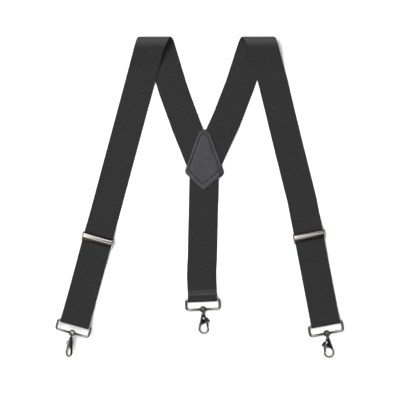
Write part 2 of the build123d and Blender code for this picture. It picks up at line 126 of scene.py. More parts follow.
EYE_WALL = 4.15 * MM
NIP_Y = 4.5 * MM
RINGS = {}
HOOKS = {}
for name in ("left", "right", "back"):
    swivel = direction_of(f"{name}_hook_swivel")
    top = point_of(f"{name}_hook_swivel")
    hook_up = direction_of(f"{name}_trigger_hinge")
    HOOKS[name] = placed(top, swivel.cross(hook_up), swivel)
    bar = point_of(f"{name}_ring_hinge")
    to_bar = (bar - top - swivel * EYE_WALL).normalized()
    RINGS[name] = placed(bar, -direction_of(f"{name}_ring_hinge"), to_bar)

STRAP_ENDS = {}
ADJUSTER_POINTS = {}
for name in ("left", "right"):
    down = direction_of(f"{name}_adjuster_slide")
    pin = point_of(f"{name}_lever_hinge")
    ADJUSTER_POINTS[name] = Vector((pin.x, pin.y, 0)) + down * NIP_Y
    STRAP_ENDS[name] = placed(ADJUSTER_POINTS[name], -direction_of(f"{name}_lever_hinge"), -down)
print("adjusters at", {n: [round(c / MM, 1) for c in p] for n, p in ADJUSTER_POINTS.items()})

# %% [markdown]
# ## Small helpers for lines and meshes
# A strap, a wire and a casting all start from a line or an outline, so a few functions make lines
# with rounded corners, and turn rings of points into closed meshes.


# %% Lines
def corner_arc(before, corner, after, radius, degrees=3.0):
    """The points that take the place of a corner, on an arc of the radius if there is room."""
    arriving = (corner - before).normalized()
    leaving = (after - corner).normalized()
    turn = arriving.angle(leaving)
    if turn < radians(0.05) or radius == 0:
        return [corner]
    room = 0.49 * min((corner - before).length, (after - corner).length)
    bend = min(radius, room / tan(turn / 2))
    side = (leaving - arriving * arriving.dot(leaving)).normalized()
    centre = corner - arriving * bend * tan(turn / 2) + side * bend
    steps = max(2, ceil(turn / radians(degrees)))
    angles = [turn * step / steps for step in range(steps + 1)]
    return [centre - side * bend * cos(a) + arriving * bend * sin(a) for a in angles]


def rounded(points, radius, degrees=3.0):
    """An open line through the points, with an arc of the radius at each corner."""
    points = [Vector(point) for point in points]
    line = [points[0]]
    for before, corner, after in zip(points, points[1:], points[2:]):
        line += corner_arc(before, corner, after, radius, degrees)
    return line + [points[-1]]


def rounded_outline(points, radius, degrees=15.0):
    """A closed outline of the points, with an arc of the radius at each corner."""
    points = [Vector(point) for point in points]
    line = []
    for n, corner in enumerate(points):
        after = points[(n + 1) % len(points)]
        line += corner_arc(points[n - 1], corner, after, radius, degrees)
    return line


def arc(centre, radius, start, sweep, degrees=4.0):
    """Points on an arc about a centre, from a start angle through a sweep, both in degrees."""
    steps = max(2, ceil(abs(sweep) / degrees))
    angles = [radians(start + sweep * step / steps) for step in range(steps + 1)]
    return [Vector((centre[0] + radius * cos(a), centre[1] + radius * sin(a))) for a in angles]


def lengths_along(line):
    """The distance run at each point of a line."""
    steps = [(b - a).length for a, b in zip(line, line[1:])]
    return np.concatenate([[0.0], np.cumsum(steps)])


def new_object(name, data):
    """An object of the data, linked to the scene."""
    made = bpy.data.objects.new(name, data)
    bpy.context.scene.collection.objects.link(made)
    return made


def line_object(name, line, closed=False):
    """A curve object of straight runs through the points."""
    data = bpy.data.curves.new(name, "CURVE")
    data.dimensions = "3D"
    spline = data.splines.new("POLY")
    spline.points.add(len(line) - 1)
    for point, place in zip(spline.points, line):
        point.co = (*place, *[0.0] * (3 - len(place)), 1.0)
    spline.use_cyclic_u = closed
    return new_object(name, data)


# %% Meshes
def mesh_object(name, points, faces):
    """A mesh object, with its normals turned outwards."""
    data = bpy.data.meshes.new(name)
    data.from_pydata([tuple(point) for point in points], [], faces)
    work = bmesh.new()
    work.from_mesh(data)
    bmesh.ops.remove_doubles(work, verts=work.verts, dist=1e-7)
    bmesh.ops.recalc_face_normals(work, faces=work.faces)
    work.to_mesh(data)
    work.free()
    return new_object(name, data)


def loft(name, rings, closed=False):
    """A closed skin over a row of rings, each with the same number of points."""
    count = len(rings[0])
    points = [point for ring in rings for point in ring]
    faces = []
    pairs = list(zip(range(len(rings)), list(range(1, len(rings))) + [0]))
    for a, b in pairs if closed else pairs[:-1]:
        for n in range(count):
            m = (n + 1) % count
            faces.append((a * count + n, a * count + m, b * count + m, b * count + n))
    if not closed:
        faces.append(tuple(range(count)))
        faces.append(tuple(range(len(points) - count, len(points))))
    return mesh_object(name, points, faces)


def plate(name, outline, holes, low, high):
    """A flat plate with holes, from one height to another."""
    work = bmesh.new()
    edges = []
    for loop in [outline, *holes]:
        corners = [work.verts.new((point[0], point[1], low)) for point in loop]
        edges += [work.edges.new(pair) for pair in zip(corners, corners[1:] + corners[:1])]
    bmesh.ops.triangle_fill(work, use_beauty=True, use_dissolve=False, edges=edges)
    lifted = bmesh.ops.extrude_face_region(work, geom=work.faces[:])["geom"]
    upper = [item for item in lifted if isinstance(item, bmesh.types.BMVert)]
    bmesh.ops.translate(work, verts=upper, vec=(0, 0, high - low))
    bmesh.ops.recalc_face_normals(work, faces=work.faces)
    data = bpy.data.meshes.new(name)
    work.to_mesh(data)
    work.free()
    return new_object(name, data)


def turned_on_lathe(name, outline, sides=36):
    """A round piece about the Y axis, from (radius, y) points that start and end on the axis."""
    rings = []
    for radius, height in outline:
        angles = [2 * pi * k / sides for k in range(sides)]
        rings.append([Vector((radius * cos(a), height, radius * sin(a))) for a in angles])
    return loft(name, rings)


def smoothed(piece, sharp):
    """Shade a piece smooth up to a sharp angle."""
    piece.data.polygons.foreach_set("use_smooth", [True] * len(piece.data.polygons))
    piece.data.set_sharp_from_angle(angle=radians(sharp))
    return piece


def settle(piece, sharp=35):
    """Make a piece's modifiers part of its mesh, and shade it smooth up to a sharp angle."""
    graph = bpy.context.evaluated_depsgraph_get()
    data = bpy.data.meshes.new_from_object(piece.evaluated_get(graph))
    data.name = piece.name
    if piece.type == "MESH":
        piece.modifiers.clear()
        piece.data = data
        made = piece
    else:
        name = piece.name
        piece.name = name + "_line"
        made = new_object(name, data)
        bpy.data.objects.remove(piece)
    return smoothed(made, sharp)


def bevelled(piece, width, segments=3, angle=40):
    """Round a piece's edges where its faces meet at more than the angle."""
    bevel = piece.modifiers.new("edges", "BEVEL")
    bevel.width = width
    bevel.segments = segments
    bevel.limit_method = "ANGLE"
    bevel.angle_limit = radians(angle)
    return settle(piece)


def joined(name, first, other, operation="UNION"):
    """Two closed pieces made one, or the second cut out of the first."""
    cut = first.modifiers.new("with " + other.name, "BOOLEAN")
    cut.operation = operation
    cut.solver = "EXACT"
    cut.object = other
    made = settle(first)
    made.name = name
    bpy.data.objects.remove(other)
    return made


def put(piece, matrix):
    """Move a piece's mesh into the frame and leave its object at the origin."""
    piece.data.transform(matrix)
    piece.matrix_world = Matrix.Identity(4)
    return piece


# %% [markdown]
# ## Helpers for node trees
# Node trees are written much like arithmetic: `add_node` places one node and links its inputs, and
# `calc` does one sum on numbers or sockets. The same functions serve geometry and shaders.


# %% Node helpers
def add_node(tree, kind, inputs=None, **settings):
    """Add a node with its settings, and give its inputs values or links."""
    made = tree.nodes.new(kind)
    for key, value in settings.items():
        setattr(made, key, value)
    for key, value in (inputs or {}).items():
        if isinstance(value, bpy.types.NodeSocket):
            tree.links.new(value, made.inputs[key])
        else:
            made.inputs[key].default_value = value
    return made


def calc(tree, operation, *values, clamp=False):
    """One step of arithmetic; gives the socket that holds its result."""
    inputs = dict(enumerate(values))
    made = add_node(tree, "ShaderNodeMath", inputs, operation=operation, use_clamp=clamp)
    return made.outputs[0]


def vector_calc(tree, operation, *values):
    """One step of arithmetic on vectors; gives the socket that holds its result."""
    made = add_node(tree, "ShaderNodeVectorMath", dict(enumerate(values)), operation=operation)
    return made.outputs["Vector"]


def scaled(tree, vector, factor):
    """A vector times a number."""
    inputs = {0: vector, "Scale": factor}
    made = add_node(tree, "ShaderNodeVectorMath", inputs, operation="SCALE")
    return made.outputs["Vector"]


def combined(tree, **parts):
    """A vector put together from its X, Y and Z."""
    return add_node(tree, "ShaderNodeCombineXYZ", parts).outputs[0]


def parts_of(tree, vector):
    """The X, Y and Z sockets of a vector."""
    return add_node(tree, "ShaderNodeSeparateXYZ", {"Vector": vector}).outputs


def new_tree(name, tree_kind, inputs, outputs):
    """A new tree, with what comes into it, as (name, kind, value), and goes out, as (name, kind)."""
    tree = bpy.data.node_groups.new(name, tree_kind)
    for socket_name, kind, value in inputs:
        socket = tree.interface.new_socket(
            socket_name, in_out="INPUT", socket_type="NodeSocket" + kind
        )
        if value is not None:
            socket.default_value = value
    for socket_name, kind in outputs:
        tree.interface.new_socket(
            socket_name, in_out="OUTPUT", socket_type="NodeSocket" + kind
        )
    return tree, add_node(tree, "NodeGroupInput").outputs, add_node(tree, "NodeGroupOutput").inputs


def end_tree(tree, geometry, finish, output):
    """End a geometry tree: realize its instances, give it its material and put it out."""
    real = add_node(tree, "GeometryNodeRealizeInstances", {"Geometry": geometry}).outputs[0]
    finished = add_node(tree, "GeometryNodeSetMaterial", {"Geometry": real, "Material": finish})
    tree.links.new(finished.outputs[0], output)
    return tree


def run_tree(piece, tree, **values):
    """Put a geometry tree on a piece with the values of its inputs, and settle the result."""
    identifiers = {
        item.name: item.identifier
        for item in tree.interface.items_tree
        if item.item_type == "SOCKET" and item.in_out == "INPUT"
    }
    modifier = piece.modifiers.new(tree.name, "NODES")
    modifier.node_group = tree
    for name, value in values.items():
        modifier[identifiers[name.replace("_", " ")]] = value
    piece.update_tag()
    return settle(piece)

# %% [markdown]
# ## Finishes
# Every finish is a node material. What several of them share, a weave, a leather grain, the wear of
# rubbed edges, lint and dust, is a group with named inputs, built once and used with other values.
# The webbing's pattern has to follow the strap, so it reads two numbers that each webbing mesh
# carries: how far along and how far across the strap a point is. A third says where a painted
# highlight makes it paler.


# %% Shared groups
def noise(tree, place, scale, detail, **inputs):
    """A noise that drifts between 0 and 1."""
    inputs = {"Vector": place, "Scale": scale, "Detail": detail, **inputs}
    return add_node(tree, "ShaderNodeTexNoise", inputs).outputs["Fac"]


def woven_rib_group():
    """Ribs along the strap, crossed by picks that step half a pitch from rib to rib."""
    tree, given, result = new_tree(
        "Woven ribs",
        "ShaderNodeTree",
        [
            ("Along", "Float", 0.0),
            ("Across", "Float", 0.0),
            ("Rib Pitch", "Float", 1.1 * MM),
            ("Pick Pitch", "Float", 0.9 * MM),
        ],
        [("Height", "Float"), ("Thread Shade", "Float")],
    )
    rib = calc(tree, "DIVIDE", given["Across"], given["Rib Pitch"])
    rib_number = calc(tree, "FLOOR", rib)
    pick = calc(tree, "DIVIDE", given["Along"], given["Pick Pitch"])
    stepped = calc(tree, "ADD", pick, calc(tree, "MULTIPLY", rib_number, 0.5))
    rib_wave = calc(tree, "ABSOLUTE", calc(tree, "SINE", calc(tree, "MULTIPLY", rib, pi)))
    pick_wave = calc(tree, "ABSOLUTE", calc(tree, "SINE", calc(tree, "MULTIPLY", stepped, pi)))
    bump = calc(tree, "MULTIPLY", rib_wave, calc(tree, "MULTIPLY_ADD", pick_wave, 0.6, 0.4))
    tree.links.new(bump, result["Height"])
    cell = combined(tree, X=rib_number, Y=calc(tree, "FLOOR", stepped))
    shade = add_node(tree, "ShaderNodeTexWhiteNoise", {"Vector": cell})
    tree.links.new(shade.outputs["Value"], result["Thread Shade"])
    return tree


def patchy_group():
    """Soft patches of lighter and darker, at one size."""
    tree, given, result = new_tree(
        "Soft patches",
        "ShaderNodeTree",
        [("Vector", "Vector", None), ("Scale", "Float", 30.0), ("Contrast", "Float", 1.0)],
        [("Mask", "Float")],
    )
    drift = noise(tree, given["Vector"], given["Scale"], 3.0, Roughness=0.55)
    centred = calc(tree, "SUBTRACT", drift, 0.5)
    spread = calc(tree, "MULTIPLY_ADD", centred, given["Contrast"], 0.5, clamp=True)
    tree.links.new(spread, result["Mask"])
    return tree


def lint_group():
    """Small scattered specks of lint and dust."""
    tree, given, result = new_tree(
        "Lint",
        "ShaderNodeTree",
        [("Vector", "Vector", None), ("Scale", "Float", 260.0), ("Amount", "Float", 0.1)],
        [("Mask", "Float")],
    )
    specks = add_node(
        tree,
        "ShaderNodeTexVoronoi",
        {"Vector": given["Vector"], "Scale": given["Scale"], "Randomness": 1.0},
    ).outputs
    draw = add_node(tree, "ShaderNodeSeparateColor", {"Color": specks["Color"]}).outputs["Red"]
    picked = calc(tree, "LESS_THAN", draw, given["Amount"])
    near = calc(tree, "SUBTRACT", 1.0, calc(tree, "MULTIPLY", specks["Distance"], 4.0))
    mask = calc(tree, "MULTIPLY", picked, calc(tree, "MAXIMUM", near, 0.0))
    tree.links.new(mask, result["Mask"])
    return tree


def leather_grain_group():
    """Fine leather grain: rounded pebbles parted by creases, of uneven size."""
    tree, given, result = new_tree(
        "Leather grain",
        "ShaderNodeTree",
        [("Vector", "Vector", None), ("Scale", "Float", 900.0)],
        [("Height", "Float"), ("Crease", "Float")],
    )
    warp = add_node(
        tree,
        "ShaderNodeTexNoise",
        {"Vector": given["Vector"], "Scale": 400.0, "Detail": 2.0},
    )
    shift = scaled(tree, warp.outputs["Color"], 0.6 * MM)
    moved = vector_calc(tree, "ADD", given["Vector"], shift)
    pebbles = add_node(
        tree,
        "ShaderNodeTexVoronoi",
        {"Vector": moved, "Scale": given["Scale"]},
        feature="DISTANCE_TO_EDGE",
    )
    raised = calc(tree, "MULTIPLY", pebbles.outputs["Distance"], 5.0, clamp=True)
    dome = calc(tree, "SQRT", raised)
    tree.links.new(dome, result["Height"])
    tree.links.new(calc(tree, "SUBTRACT", 1.0, dome), result["Crease"])
    return tree


def edge_wear_group():
    """Where edges are rubbed: the sharp outward edges, broken up by noise."""
    tree, given, result = new_tree(
        "Edge wear",
        "ShaderNodeTree",
        [("Vector", "Vector", None), ("Scale", "Float", 300.0), ("Strength", "Float", 1.0)],
        [("Mask", "Float")],
    )
    shape = add_node(tree, "ShaderNodeNewGeometry")
    sharp = add_node(
        tree,
        "ShaderNodeMapRange",
        {"Value": shape.outputs["Pointiness"], "From Min": 0.51, "From Max": 0.60},
    )
    drift = noise(tree, given["Vector"], given["Scale"], 4.0)
    broken = calc(tree, "MULTIPLY", sharp.outputs["Result"], drift)
    mask = calc(tree, "MULTIPLY", broken, given["Strength"], clamp=True)
    tree.links.new(mask, result["Mask"])
    return tree


GROUPS = {
    "ribs": woven_rib_group(),
    "patches": patchy_group(),
    "lint": lint_group(),
    "grain": leather_grain_group(),
    "wear": edge_wear_group(),
}
print("shared groups:", ", ".join(tree.name for tree in GROUPS.values()))


# %% Helpers for materials
def new_material(name, metallic, roughness, **constants):
    """A material with one Principled shader and its constant values."""
    made = bpy.data.materials.new(name)
    made.use_nodes = True
    tree = made.node_tree
    shader = next(node for node in tree.nodes if node.type == "BSDF_PRINCIPLED")
    shader.inputs["Metallic"].default_value = metallic
    shader.inputs["Roughness"].default_value = roughness
    for key, value in constants.items():
        shader.inputs[key.replace("_", " ")].default_value = value
    return made, tree, shader


def use_group(tree, key, **inputs):
    """Place one of the shared groups in a material."""
    return add_node(tree, "ShaderNodeGroup", inputs, node_tree=GROUPS[key]).outputs


def blend_of(tree, mask, first, second):
    """The first colour where the mask is 0 and the second where it is 1."""
    made = add_node(tree, "ShaderNodeMix", data_type="RGBA")
    colours = [socket for socket in made.inputs if socket.type == "RGBA"]
    tree.links.new(mask, made.inputs["Factor"])
    for socket, colour in zip(colours, (first, second)):
        if isinstance(colour, bpy.types.NodeSocket):
            tree.links.new(colour, socket)
        else:
            socket.default_value = (*colour, 1.0)
    return next(socket for socket in made.outputs if socket.type == "RGBA")


def between(tree, mask, low, high):
    """A number that runs from low to high as the mask runs from 0 to 1."""
    return calc(tree, "MULTIPLY_ADD", mask, high - low, low)


def raise_bump(tree, shader, height, distance, strength=1.0, normal=None):
    """Feed a height through a Bump node to the shader's normal."""
    inputs = {"Height": height, "Distance": distance, "Strength": strength}
    if normal is not None:
        inputs["Normal"] = normal
    bump = add_node(tree, "ShaderNodeBump", inputs)
    tree.links.new(bump.outputs["Normal"], shader.inputs["Normal"])


def object_place(tree):
    """The point in the object's own coordinates."""
    return add_node(tree, "ShaderNodeTexCoord").outputs["Object"]


def carried(tree, name):
    """A number that the mesh carries on its points."""
    return add_node(tree, "ShaderNodeAttribute", attribute_name=name).outputs["Fac"]


# %% [markdown]
# ### Webbing
# Woven elastic looks flat and black from a distance. Close up it has ribs along its length, small
# picks across them, threads that catch the light unevenly and a little lint. It is very rough, with
# a faint sheen from its fibre ends, so it never goes fully black at a glancing angle.


# %% Webbing finish
def webbing_finish():
    """Black woven elastic: ribs and picks, uneven threads, lint, and a painted highlight where the
    mesh carries one.
    """
    made, tree, shader = new_material(
        "Black elastic webbing",
        0.0,
        0.88,
        Sheen_Weight=0.07,
        Sheen_Roughness=0.45,
        Sheen_Tint=(0.8, 0.8, 0.82, 1.0),
        Specular_IOR_Level=0.25,
    )
    along = carried(tree, "weave_along")
    ribs = use_group(tree, "ribs", Along=along, Across=carried(tree, "weave_across"))
    place = object_place(tree)
    patches = use_group(tree, "patches", Vector=place, Scale=14.0, Contrast=1.6)["Mask"]
    lint = use_group(tree, "lint", Vector=place, Scale=230.0, Amount=0.05)["Mask"]
    thread = blend_of(tree, ribs["Thread Shade"], (0.01, 0.01, 0.01), (0.0175, 0.0175, 0.0175))
    worn = calc(tree, "MULTIPLY", patches, 0.3)
    shaded = blend_of(tree, worn, thread, (0.024, 0.024, 0.0245))
    # Painted highlight: paler threads where the mesh carries it, over the shoulder folds and the hem's
    # ridge.
    pale = calc(tree, "MULTIPLY", carried(tree, "fold_stretch"), 0.6)
    with_painted_highlight = blend_of(tree, pale, shaded, (0.062, 0.062, 0.062))
    speckled = blend_of(tree, calc(tree, "MULTIPLY", lint, 0.35), with_painted_highlight, (0.16, 0.16, 0.16))
    tree.links.new(speckled, shader.inputs["Base Color"])
    tree.links.new(between(tree, patches, 0.82, 0.93), shader.inputs["Roughness"])
    raise_bump(tree, shader, ribs["Height"], 0.22 * MM, 0.75)
    return made


# %% [markdown]
# ### Leather and thread
# The patch is black leather with a fine grain, a little lighter and bluer than the webbing, and its
# cut edge is rubbed smooth. Thread is twisted, so its shine runs in small slanted stripes.


# %% Leather and thread finishes
def leather_finish():
    """Black grained leather with soft patches, rubbed edges, and painted shade in the sewn groove and
    near the tip.
    """
    made, tree, shader = new_material(
        "Black grained leather", 0.0, 0.5, Specular_IOR_Level=0.4
    )
    place = object_place(tree)
    grain = use_group(tree, "grain", Vector=place, Scale=850.0)
    patches = use_group(tree, "patches", Vector=place, Scale=75.0, Contrast=2.8)["Mask"]
    wear = use_group(tree, "wear", Vector=place, Scale=350.0, Strength=1.2)["Mask"]
    base = blend_of(tree, patches, (0.009, 0.0092, 0.0105), (0.031, 0.032, 0.036))
    creased = calc(tree, "MULTIPLY", grain["Crease"], 0.6)
    darker = blend_of(tree, creased, base, (0.012, 0.012, 0.013))
    rubbed = blend_of(tree, calc(tree, "MULTIPLY", wear, 0.5), darker, (0.07, 0.07, 0.074))
    # Painted shade: nearly black in the sewn groove and on the border near the tip.
    with_painted_shade = blend_of(tree, carried(tree, "groove_shade"), rubbed, (0.006, 0.006, 0.0065))
    tree.links.new(with_painted_shade, shader.inputs["Base Color"])
    tree.links.new(between(tree, patches, 0.48, 0.60), shader.inputs["Roughness"])
    fine = noise(tree, place, 2600.0, 2.0)
    low = add_node(tree, "ShaderNodeBump", {"Height": fine, "Distance": 0.03 * MM, "Strength": 0.5})
    raise_bump(tree, shader, grain["Height"], 0.09 * MM, 0.8, low.outputs["Normal"])
    return made


def thread_finish():
    """Black twisted thread."""
    made, tree, shader = new_material("Black sewing thread", 0.0, 0.6)
    place = object_place(tree)
    twist = add_node(
        tree,
        "ShaderNodeTexWave",
        {"Vector": place, "Scale": 900.0, "Distortion": 1.0},
        bands_direction="DIAGONAL",
    ).outputs["Fac"]
    tree.links.new(
        blend_of(tree, twist, (0.008, 0.008, 0.009), (0.026, 0.026, 0.028)),
        shader.inputs["Base Color"],
    )
    raise_bump(tree, shader, twist, 0.05 * MM, 0.8)
    return made


# %% [markdown]
# ### Metals
# All the hardware is plated steel or plated casting, and only the plating differs: bright on the
# adjusters, a warm nickel on the rings and a darker nickel on the hooks. One function makes them
# all, and the plain spring steel too. Its roughness drifts in soft patches, and fine scratches break
# the shine. A painted shade darkens it nearly to black on sides, flat cheeks, lips and eyes, where
# it stands in for shade and dark reflections. A mesh that has such places carries them as a number.


# %% Metal finishes
def plated_finish(name, bright, tarnished, polish, tarnish=0.35, dark=(0.011, 0.009, 0.0065)):
    """A plated metal, tarnished in patches, rubbed on its edges, and darkened by painted shade where
    the mesh carries it.
    """
    made, tree, shader = new_material(
        name, 1.0, polish, Specular_Tint=(0.35, 0.34, 0.30, 1.0)
    )
    # Painted shade: where a mesh carries it, the dark colour is painted in as shade and dark
    # reflection.
    shade = carried(tree, "plating_shade")
    place = object_place(tree)
    patches = use_group(tree, "patches", Vector=place, Scale=120.0, Contrast=2.2)["Mask"]
    wear = use_group(tree, "wear", Vector=place, Scale=900.0, Strength=1.6)["Mask"]
    dull = calc(tree, "MULTIPLY", patches, tarnish)
    base = blend_of(tree, dull, bright, tarnished)
    rubbed = tuple(min(1.0, value * 1.3) for value in bright)
    crowned = blend_of(tree, wear, base, rubbed)
    tree.links.new(blend_of(tree, shade, crowned, dark), shader.inputs["Base Color"])
    tree.links.new(between(tree, patches, polish, polish + 0.10), shader.inputs["Roughness"])
    scratch_place = add_node(
        tree, "ShaderNodeMapping", {"Vector": place, "Scale": (1.0, 9.0, 1.0)}
    ).outputs["Vector"]
    scratches = noise(tree, scratch_place, 700.0, 3.0)
    raise_bump(tree, shader, scratches, 0.02 * MM, 0.35)
    return made


FINISHES = {
    "webbing": webbing_finish(),
    "patch_leather": leather_finish(),
    "thread": thread_finish(),
    "ring_metal": plated_finish("Warm nickel wire", (0.44, 0.46, 0.42), (0.17, 0.16, 0.12), 0.13),
    "hook_metal": plated_finish(
        "Dark nickel casting", (0.31, 0.30, 0.27), (0.08, 0.07, 0.05), 0.14, 0.5
    ),
    "adjuster_metal": plated_finish(
        "Bright nickel plate", (0.44, 0.42, 0.39), (0.20, 0.18, 0.15), 0.12, 0.4
    ),
    "spring_steel": plated_finish("Spring steel", (0.5, 0.5, 0.5), (0.3, 0.3, 0.3), 0.3),
}
print("finishes:", ", ".join(FINISHES))


def marked(piece, attribute, value_at):
    """Store a number on every point of a piece, worked out from where the point is."""
    values = [value_at(vertex.co) for vertex in piece.data.vertices]
    layer = piece.data.attributes.new(attribute, "FLOAT", "POINT")
    layer.data.foreach_set("value", values)


def eased(value, start, end):
    """0 before start and 1 after end, with a smooth rise between."""
    share = min(max((value - start) / (end - start), 0.0), 1.0)
    return share * share * (3 - 2 * share)


def dressed(piece, slot):
    """Give a piece the finish of a material slot of the record."""
    piece.data.materials.clear()
    piece.data.materials.append(FINISHES[slot])
    return piece


# %% [markdown]
# ## The webbing rule
# A strap is cut flat from a roll, and only then is it laid, folded and turned round its bar. The
# node tree does the same. A flat line, the route, is where the middle of the strap runs on the
# unrolled sheet. A drape is the side view of what the sheet is laid over. The tree sweeps the
# webbing's section along the route, and then wraps every point of that flat strap onto the drape:
# how far up the sheet a point is becomes how far along the drape it sits. The wrap can't stretch
# the strap, so a slanted strap comes out of a shoulder fold at the slant the real one does.


# %% The webbing tree
def stored(tree, geometry, name, value):
    """Store a number on the points of a geometry."""
    inputs = {"Geometry": geometry, "Name": name, "Value": value}
    return add_node(
        tree, "GeometryNodeStoreNamedAttribute", inputs, data_type="FLOAT", domain="POINT"
    ).outputs[0]


def webbing_tree():
    """Sweep the section along the route, then wrap the flat strap onto its drape."""
    tree, given, result = new_tree(
        "Webbing laid on its drape",
        "GeometryNodeTree",
        [
            ("Route", "Geometry", None),
            ("Drape", "Object", None),
            ("Section", "Object", None),
            ("Step", "Float", 2 * MM),
            ("Start Length", "Float", 0.0),
            ("Edge Wander", "Float", 0.006),
            ("Finish", "Material", None),
        ],
        [("Strap", "Geometry")],
    )
    route = add_node(
        tree,
        "GeometryNodeResampleCurve",
        {"Curve": given["Route"], "Length": given["Step"]},
        mode="LENGTH",
    ).outputs[0]
    upright = add_node(tree, "GeometryNodeSetCurveNormal", {"Curve": route}, mode="Z_UP").outputs[0]
    run = add_node(tree, "GeometryNodeSplineParameter").outputs["Length"]
    along = calc(tree, "ADD", run, given["Start Length"])
    here = add_node(tree, "GeometryNodeInputPosition").outputs[0]
    section = add_node(tree, "GeometryNodeObjectInfo", {"Object": given["Section"]})
    outline = section.outputs["Geometry"]
    flat = add_node(
        tree,
        "GeometryNodeCurveToMesh",
        {
            "Curve": stored(tree, upright, "weave_along", along),
            "Profile Curve": stored(tree, outline, "weave_across", parts_of(tree, here)["X"]),
            "Fill Caps": True,
        },
    ).outputs[0]
    on_sheet = parts_of(tree, here)
    drape = add_node(tree, "GeometryNodeObjectInfo", {"Object": given["Drape"]})
    laid = add_node(
        tree,
        "GeometryNodeSampleCurve",
        {"Curves": drape.outputs["Geometry"], "Length": on_sheet["Y"]},
        mode="LENGTH",
        use_all_curves=True,
    ).outputs
    heading = parts_of(tree, vector_calc(tree, "NORMALIZE", laid["Tangent"]))
    outward = combined(tree, Y=heading["Z"], Z=calc(tree, "MULTIPLY", heading["Y"], -1.0))
    wobble = add_node(
        tree,
        "ShaderNodeTexNoise",
        {"W": on_sheet["Y"], "Scale": 38.0, "Detail": 1.0},
        noise_dimensions="1D",
    ).outputs[0]
    spread = calc(tree, "MULTIPLY", calc(tree, "SUBTRACT", wobble, 0.5), given["Edge Wander"])
    across = add_node(
        tree, "GeometryNodeInputNamedAttribute", {"Name": "weave_across"}, data_type="FLOAT"
    ).outputs["Attribute"]
    nudge = combined(tree, X=calc(tree, "MULTIPLY", across, spread))
    side = combined(tree, X=on_sheet["X"])
    on_drape = vector_calc(tree, "ADD", laid["Position"], side)
    raised = vector_calc(tree, "ADD", on_drape, scaled(tree, outward, on_sheet["Z"]))
    place = vector_calc(tree, "ADD", raised, nudge)
    wrapped = add_node(
        tree, "GeometryNodeSetPosition", {"Geometry": flat, "Position": place}
    ).outputs[0]
    return end_tree(tree, wrapped, given["Finish"], result["Strap"])


WEBBING = webbing_tree()


def webbing_section():
    """The outline across the webbing, with rounded selvedges and a point every 2 mm."""
    half_w = WEB_W / 2
    half_t = WEB_T / 2
    flat = half_w - half_t
    count = 24
    top = [(flat - 2 * flat * k / count, half_t) for k in range(count + 1)]
    left = [tuple(p) for p in arc((-flat, 0), half_t, 90, 180, 30)[1:-1]]
    bottom = [(-x, -y) for x, y in top]
    right = [(-x, -y) for x, y in left]
    return [Vector((x, y, 0)) for x, y in top + left + bottom + right]


SECTION = line_object("webbing_section", webbing_section(), closed=True)


def woven(name, route, drape, start_length=0.0):
    """A strap whose middle follows the route on the sheet, laid on the drape."""
    side_view = line_object(name + "_drape", [Vector((0, p.x, p.y)) for p in drape])
    piece = run_tree(
        line_object(name, route),
        WEBBING,
        Drape=side_view,
        Section=SECTION,
        Start_Length=start_length,
        Finish=FINISHES["webbing"],
    )
    bpy.data.objects.remove(side_view)
    work = bmesh.new()
    work.from_mesh(piece.data)
    if work.calc_volume(signed=True) < 0:
        bmesh.ops.reverse_faces(work, faces=work.faces)
        work.to_mesh(piece.data)
    work.free()
    return piece

# %% [markdown]
# ## Shoulder straps
# Each strap starts at the patch, climbs off its lower leather, lies flat, rolls over the shoulder
# fold, springs down at 22 degrees onto its own back leg, and steps off it to the table. That side
# view is its drape. The rest stays with the harness, and the front of the strap, by its adjuster, is
# a mesh of its own, so one strap is two meshes that meet on a straight, flat stretch, where no seam
# shows.

# %% Drape and routes of the shoulder straps
FOLD_R = 10 * MM
FOLD_AXIS_Y = cad_high.y - FOLD_R
FOLD_MID_R = FOLD_R - WEB_T / 2
FOLD_DROP = 22
FOLD_BAND = 5 * MM
FOLD_FADE = 21 * MM
BENEATH_PATCH_Y = -20 * MM
LEG_RAMP = (152 * MM, 120 * MM)
CROTCH_Y = 192 * MM
LANDED_Y = 176 * MM
SPLIT_Y = 216 * MM
NIP_MID = 5.4 * MM
LEAD_IN = (-37 * MM, -10.5 * MM)
FRONT_LEADS = (63 * MM, 45 * MM)
PATCH_SPLIT_Y = 43.4 * MM
MITRE_X = 8.8 * MM
MITRE_GAP = 0.1 * MM

BACK_LEGS = {
    "left": mm((23.75, 5.2), (-22.0, 119.8), (-44.4, 181.2), (-68.6, 262.1)),
    "right": mm((-14.8, 0.1), (45.8, 130.0), (69.6, 191.4), (92.3, 262.1)),
}
FRONT_LEGS = {
    "left": mm((-82.5, 262.1)),
    "right": mm((106.4, 262.1), (126.3, 191.4), (153.7, 78.8)),
}


def shoulder_drape(lowest_y):
    """Side view (y, z) of a shoulder strap's middle, and how far along it the fold's top is."""
    back = rounded(
        [
            (BENEATH_PATCH_Y, SEWN_MID),
            (LEG_RAMP[1], SEWN_MID),
            (LEG_RAMP[0], FLOOR_MID),
            (FOLD_AXIS_Y, FLOOR_MID),
        ],
        DRAPE_R,
    )
    fold = arc((FOLD_AXIS_Y, FOLD_R), FOLD_MID_R, -90, 180 + FOLD_DROP)
    crest = fold[-1]
    reach = (crest.y - SECOND_MID) / tan(radians(FOLD_DROP))
    front = rounded(
        [
            crest,
            (crest.x - reach, SECOND_MID),
            (CROTCH_Y, SECOND_MID),
            (LANDED_Y, FLOOR_MID),
            (lowest_y, FLOOR_MID),
        ],
        DRAPE_R,
    )
    return back[:-1] + fold[:-1] + front


def on_sheet(drape, y, front):
    """How far along the drape a height y is, on its back run or on its front run."""
    runs = lengths_along(drape)
    heights = np.array([point.x for point in drape])
    turn = int(np.argmax(heights))
    if front:
        return float(np.interp(-y, -heights[turn:], runs[turn:]))
    return float(np.interp(y, heights[: turn + 1], runs[: turn + 1]))


def cut_line(line, height):
    """The two parts of a line, cut where its second coordinate reaches the height."""
    after = next(n for n, point in enumerate(line) if point.y > height)
    first, second = line[after - 1], line[after]
    cut = first.lerp(second, (height - first.y) / (second.y - first.y))
    return line[:after] + [cut], [cut] + line[after:]


